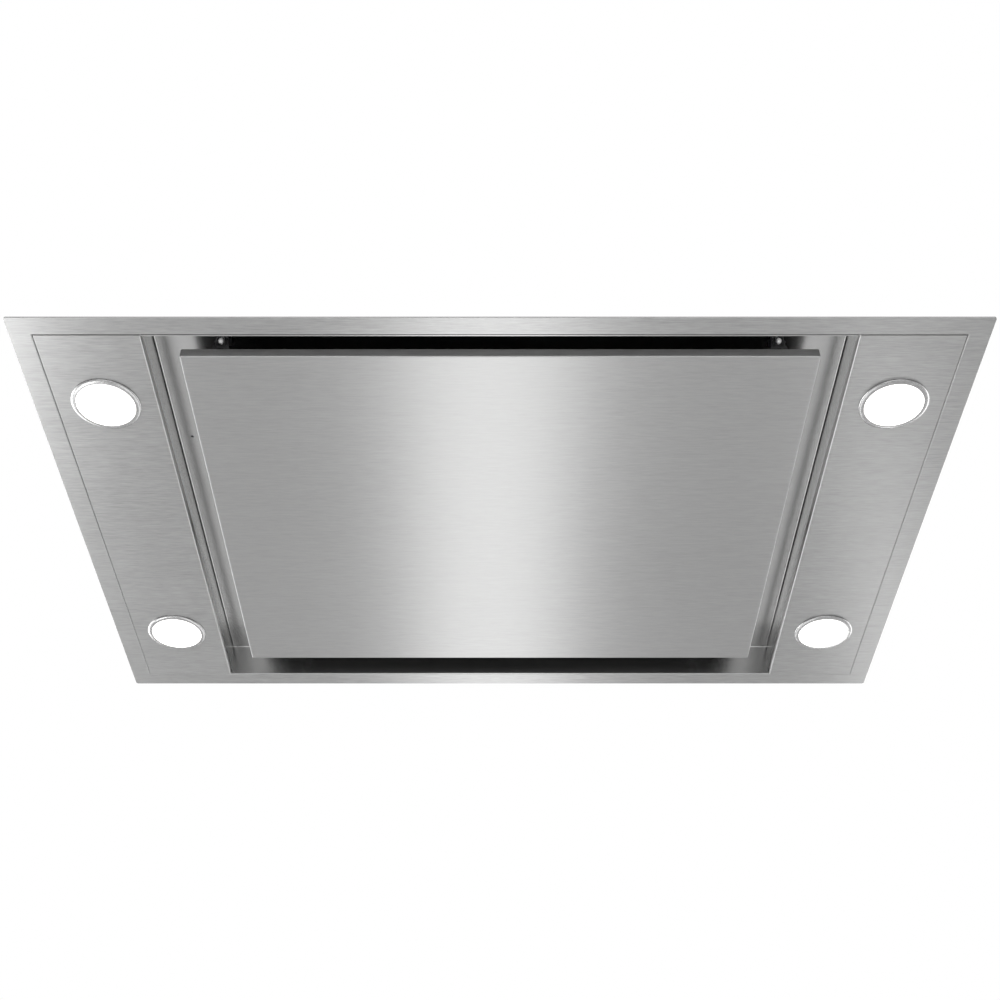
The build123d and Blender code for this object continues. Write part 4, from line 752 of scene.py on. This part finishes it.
class HOOD_OT_catches(HoodOperator, Operator):
    """Finish the catch brackets, their balls, the hinges, the screws and the receiver, and the
    panel backing in black as painted shade
    """

    bl_idname = "hood.catches"
    bl_label = "Catches and hinges"

    def execute(self, context):
        # the panel backing is black as painted shade: it darkens the gaps round the drop panel; the
        # brackets and hinges are black in their own right
        dress(black_coating_and_shade(), "catch_brackets", "panel_backing", "hinge_brackets", "hinge_arms")
        dress(white_nylon(), "catch_balls")
        plated = machined("zinc_plated")
        dress(plated, "hinge_pins", "damper_pin", "panel_screws", "housing_screws")
        dress(plated, "motor_bearings")
        dress(moulded("black_plastic", context.scene.hood_moulded.black), "receiver")
        return {"FINISHED"}


class HOOD_OT_filters(HoodOperator, Operator):
    """Build the expanded aluminium of the filters and finish their frames, latches and seal"""

    bl_idname = "hood.filters"
    bl_label = "Grease filters"

    def execute(self, context):
        sizes = context.scene.hood_mesh
        for side in SIDES:
            node_name = f"filter_mesh_{side}"
            low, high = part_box(node_name)
            bm = bmesh.new()
            step = (high.z - low.z - sizes.sheet) / sizes.layers
            for layer in range(sizes.layers):
                level = low.z + step * (layer + 0.5)
                expanded_sheet(bm, low, high, level, sizes, layer % 2)
            bmesh.ops.solidify(bm, geom=bm.faces[:], thickness=sizes.sheet)
            bmesh.ops.recalc_face_normals(bm, faces=bm.faces[:])
            piece = new_piece(
                f"expanded_mesh_{side}", bm, aluminium(), "hood"
            )
            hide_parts(node_name)
        dress(aluminium(), "filter_frame_left", "filter_frame_right")
        black = moulded("black_plastic", context.scene.hood_moulded.black)
        dress(black, "filter_latch_left", "filter_latch_right")
        dress(seal_foam(), "filter_seal", "ceiling_seal")
        return {"FINISHED"}


class HOOD_OT_housing(HoodOperator, Operator):
    """Finish the galvanised housing, fan casing, plenum, filter ledge and hangers"""

    bl_idname = "hood.housing"
    bl_label = "Housing and casing"

    def execute(self, context):
        dress(galvanised(), "plenum_frame", "filter_ledge", "housing_base", "fan_casing")
        dress(galvanised(), "service_cover", "hanging_brackets", "blower_plate", "inlet_ring")
        return {"FINISHED"}


class HOOD_OT_fan(HoodOperator, Operator):
    """Finish the scroll, wheel, motor and outlet"""

    bl_idname = "hood.fan"
    bl_label = "Fan and outlet"

    def execute(self, context):
        tones = context.scene.hood_moulded
        grey = moulded("grey_plastic", tones.grey)
        dress(grey, "blower_scroll", "damper_flap_front", "damper_flap_rear")
        dress(moulded("black_plastic", tones.black), "outlet_collar")
        dress(moulded("black_rubber", RUBBER_TONE), "motor_mounts")
        dress(machined("wheel_sheet"), "wheel_plate", "wheel_blades", "wheel_ring")
        dress(machined("motor_steel"), "motor_can", "motor_bracket", "motor_rotor")
        dress(wound_copper(), "motor_stator")
        return {"FINISHED"}


class HOOD_OT_electrics(HoodOperator, Operator):
    """Finish the control box, driver, capacitor, gland and wiring"""

    bl_idname = "hood.electrics"
    bl_label = "Electrics"

    def execute(self, context):
        tones = context.scene.hood_moulded
        black = moulded("black_plastic", tones.black)
        dress(black, "control_box", "cable_gland", "capacitor")
        dress(moulded("white_plastic", tones.white), "led_driver")
        dress(moulded("cable_sheath", SHEATH_TONE), "wiring_loom")
        return {"FINISHED"}


OPERATORS = (
    HOOD_OT_stage,
    HOOD_OT_face,
    HOOD_OT_lamps,
    HOOD_OT_catches,
    HOOD_OT_filters,
    HOOD_OT_housing,
    HOOD_OT_fan,
    HOOD_OT_electrics,
)
GROUPS = {
    "hood_metals": HoodMetals,
    "hood_moulded": HoodMoulded,
    "hood_mesh": HoodMesh,
    "hood_stage": HoodStage,
}


class VIEW3D_PT_hood(Panel):
    """Lists the hood's operators and their settings"""

    bl_label = "Ceiling hood"
    bl_idname = "VIEW3D_PT_hood"
    bl_space_type = "VIEW_3D"
    bl_region_type = "UI"
    bl_category = "Hood"

    def draw(self, context):
        column = self.layout.column()
        for operator in OPERATORS:
            column.operator(operator.bl_idname)
        for attribute, group in GROUPS.items():
            box = self.layout.box()
            for key in group.__annotations__:
                box.prop(getattr(context.scene, attribute), key)


def register():
    """Registers the classes and hangs their settings on the scene."""
    for item in (*GROUPS.values(), *OPERATORS, VIEW3D_PT_hood):
        bpy.utils.register_class(item)
    for attribute, group in GROUPS.items():
        setattr(bpy.types.Scene, attribute, PointerProperty(type=group))


def unregister():
    """Removes what register added."""
    for attribute in GROUPS:
        delattr(bpy.types.Scene, attribute)
    for item in (VIEW3D_PT_hood, *reversed(OPERATORS), *reversed(GROUPS.values())):
        bpy.utils.unregister_class(item)


def main():
    """Builds every piece in order."""
    register()
    for operator in OPERATORS:
        group, name = operator.bl_idname.split(".")
        getattr(getattr(bpy.ops, group), name)()
    bpy.context.view_layer.update()


if __name__ == "__main__":
    main()
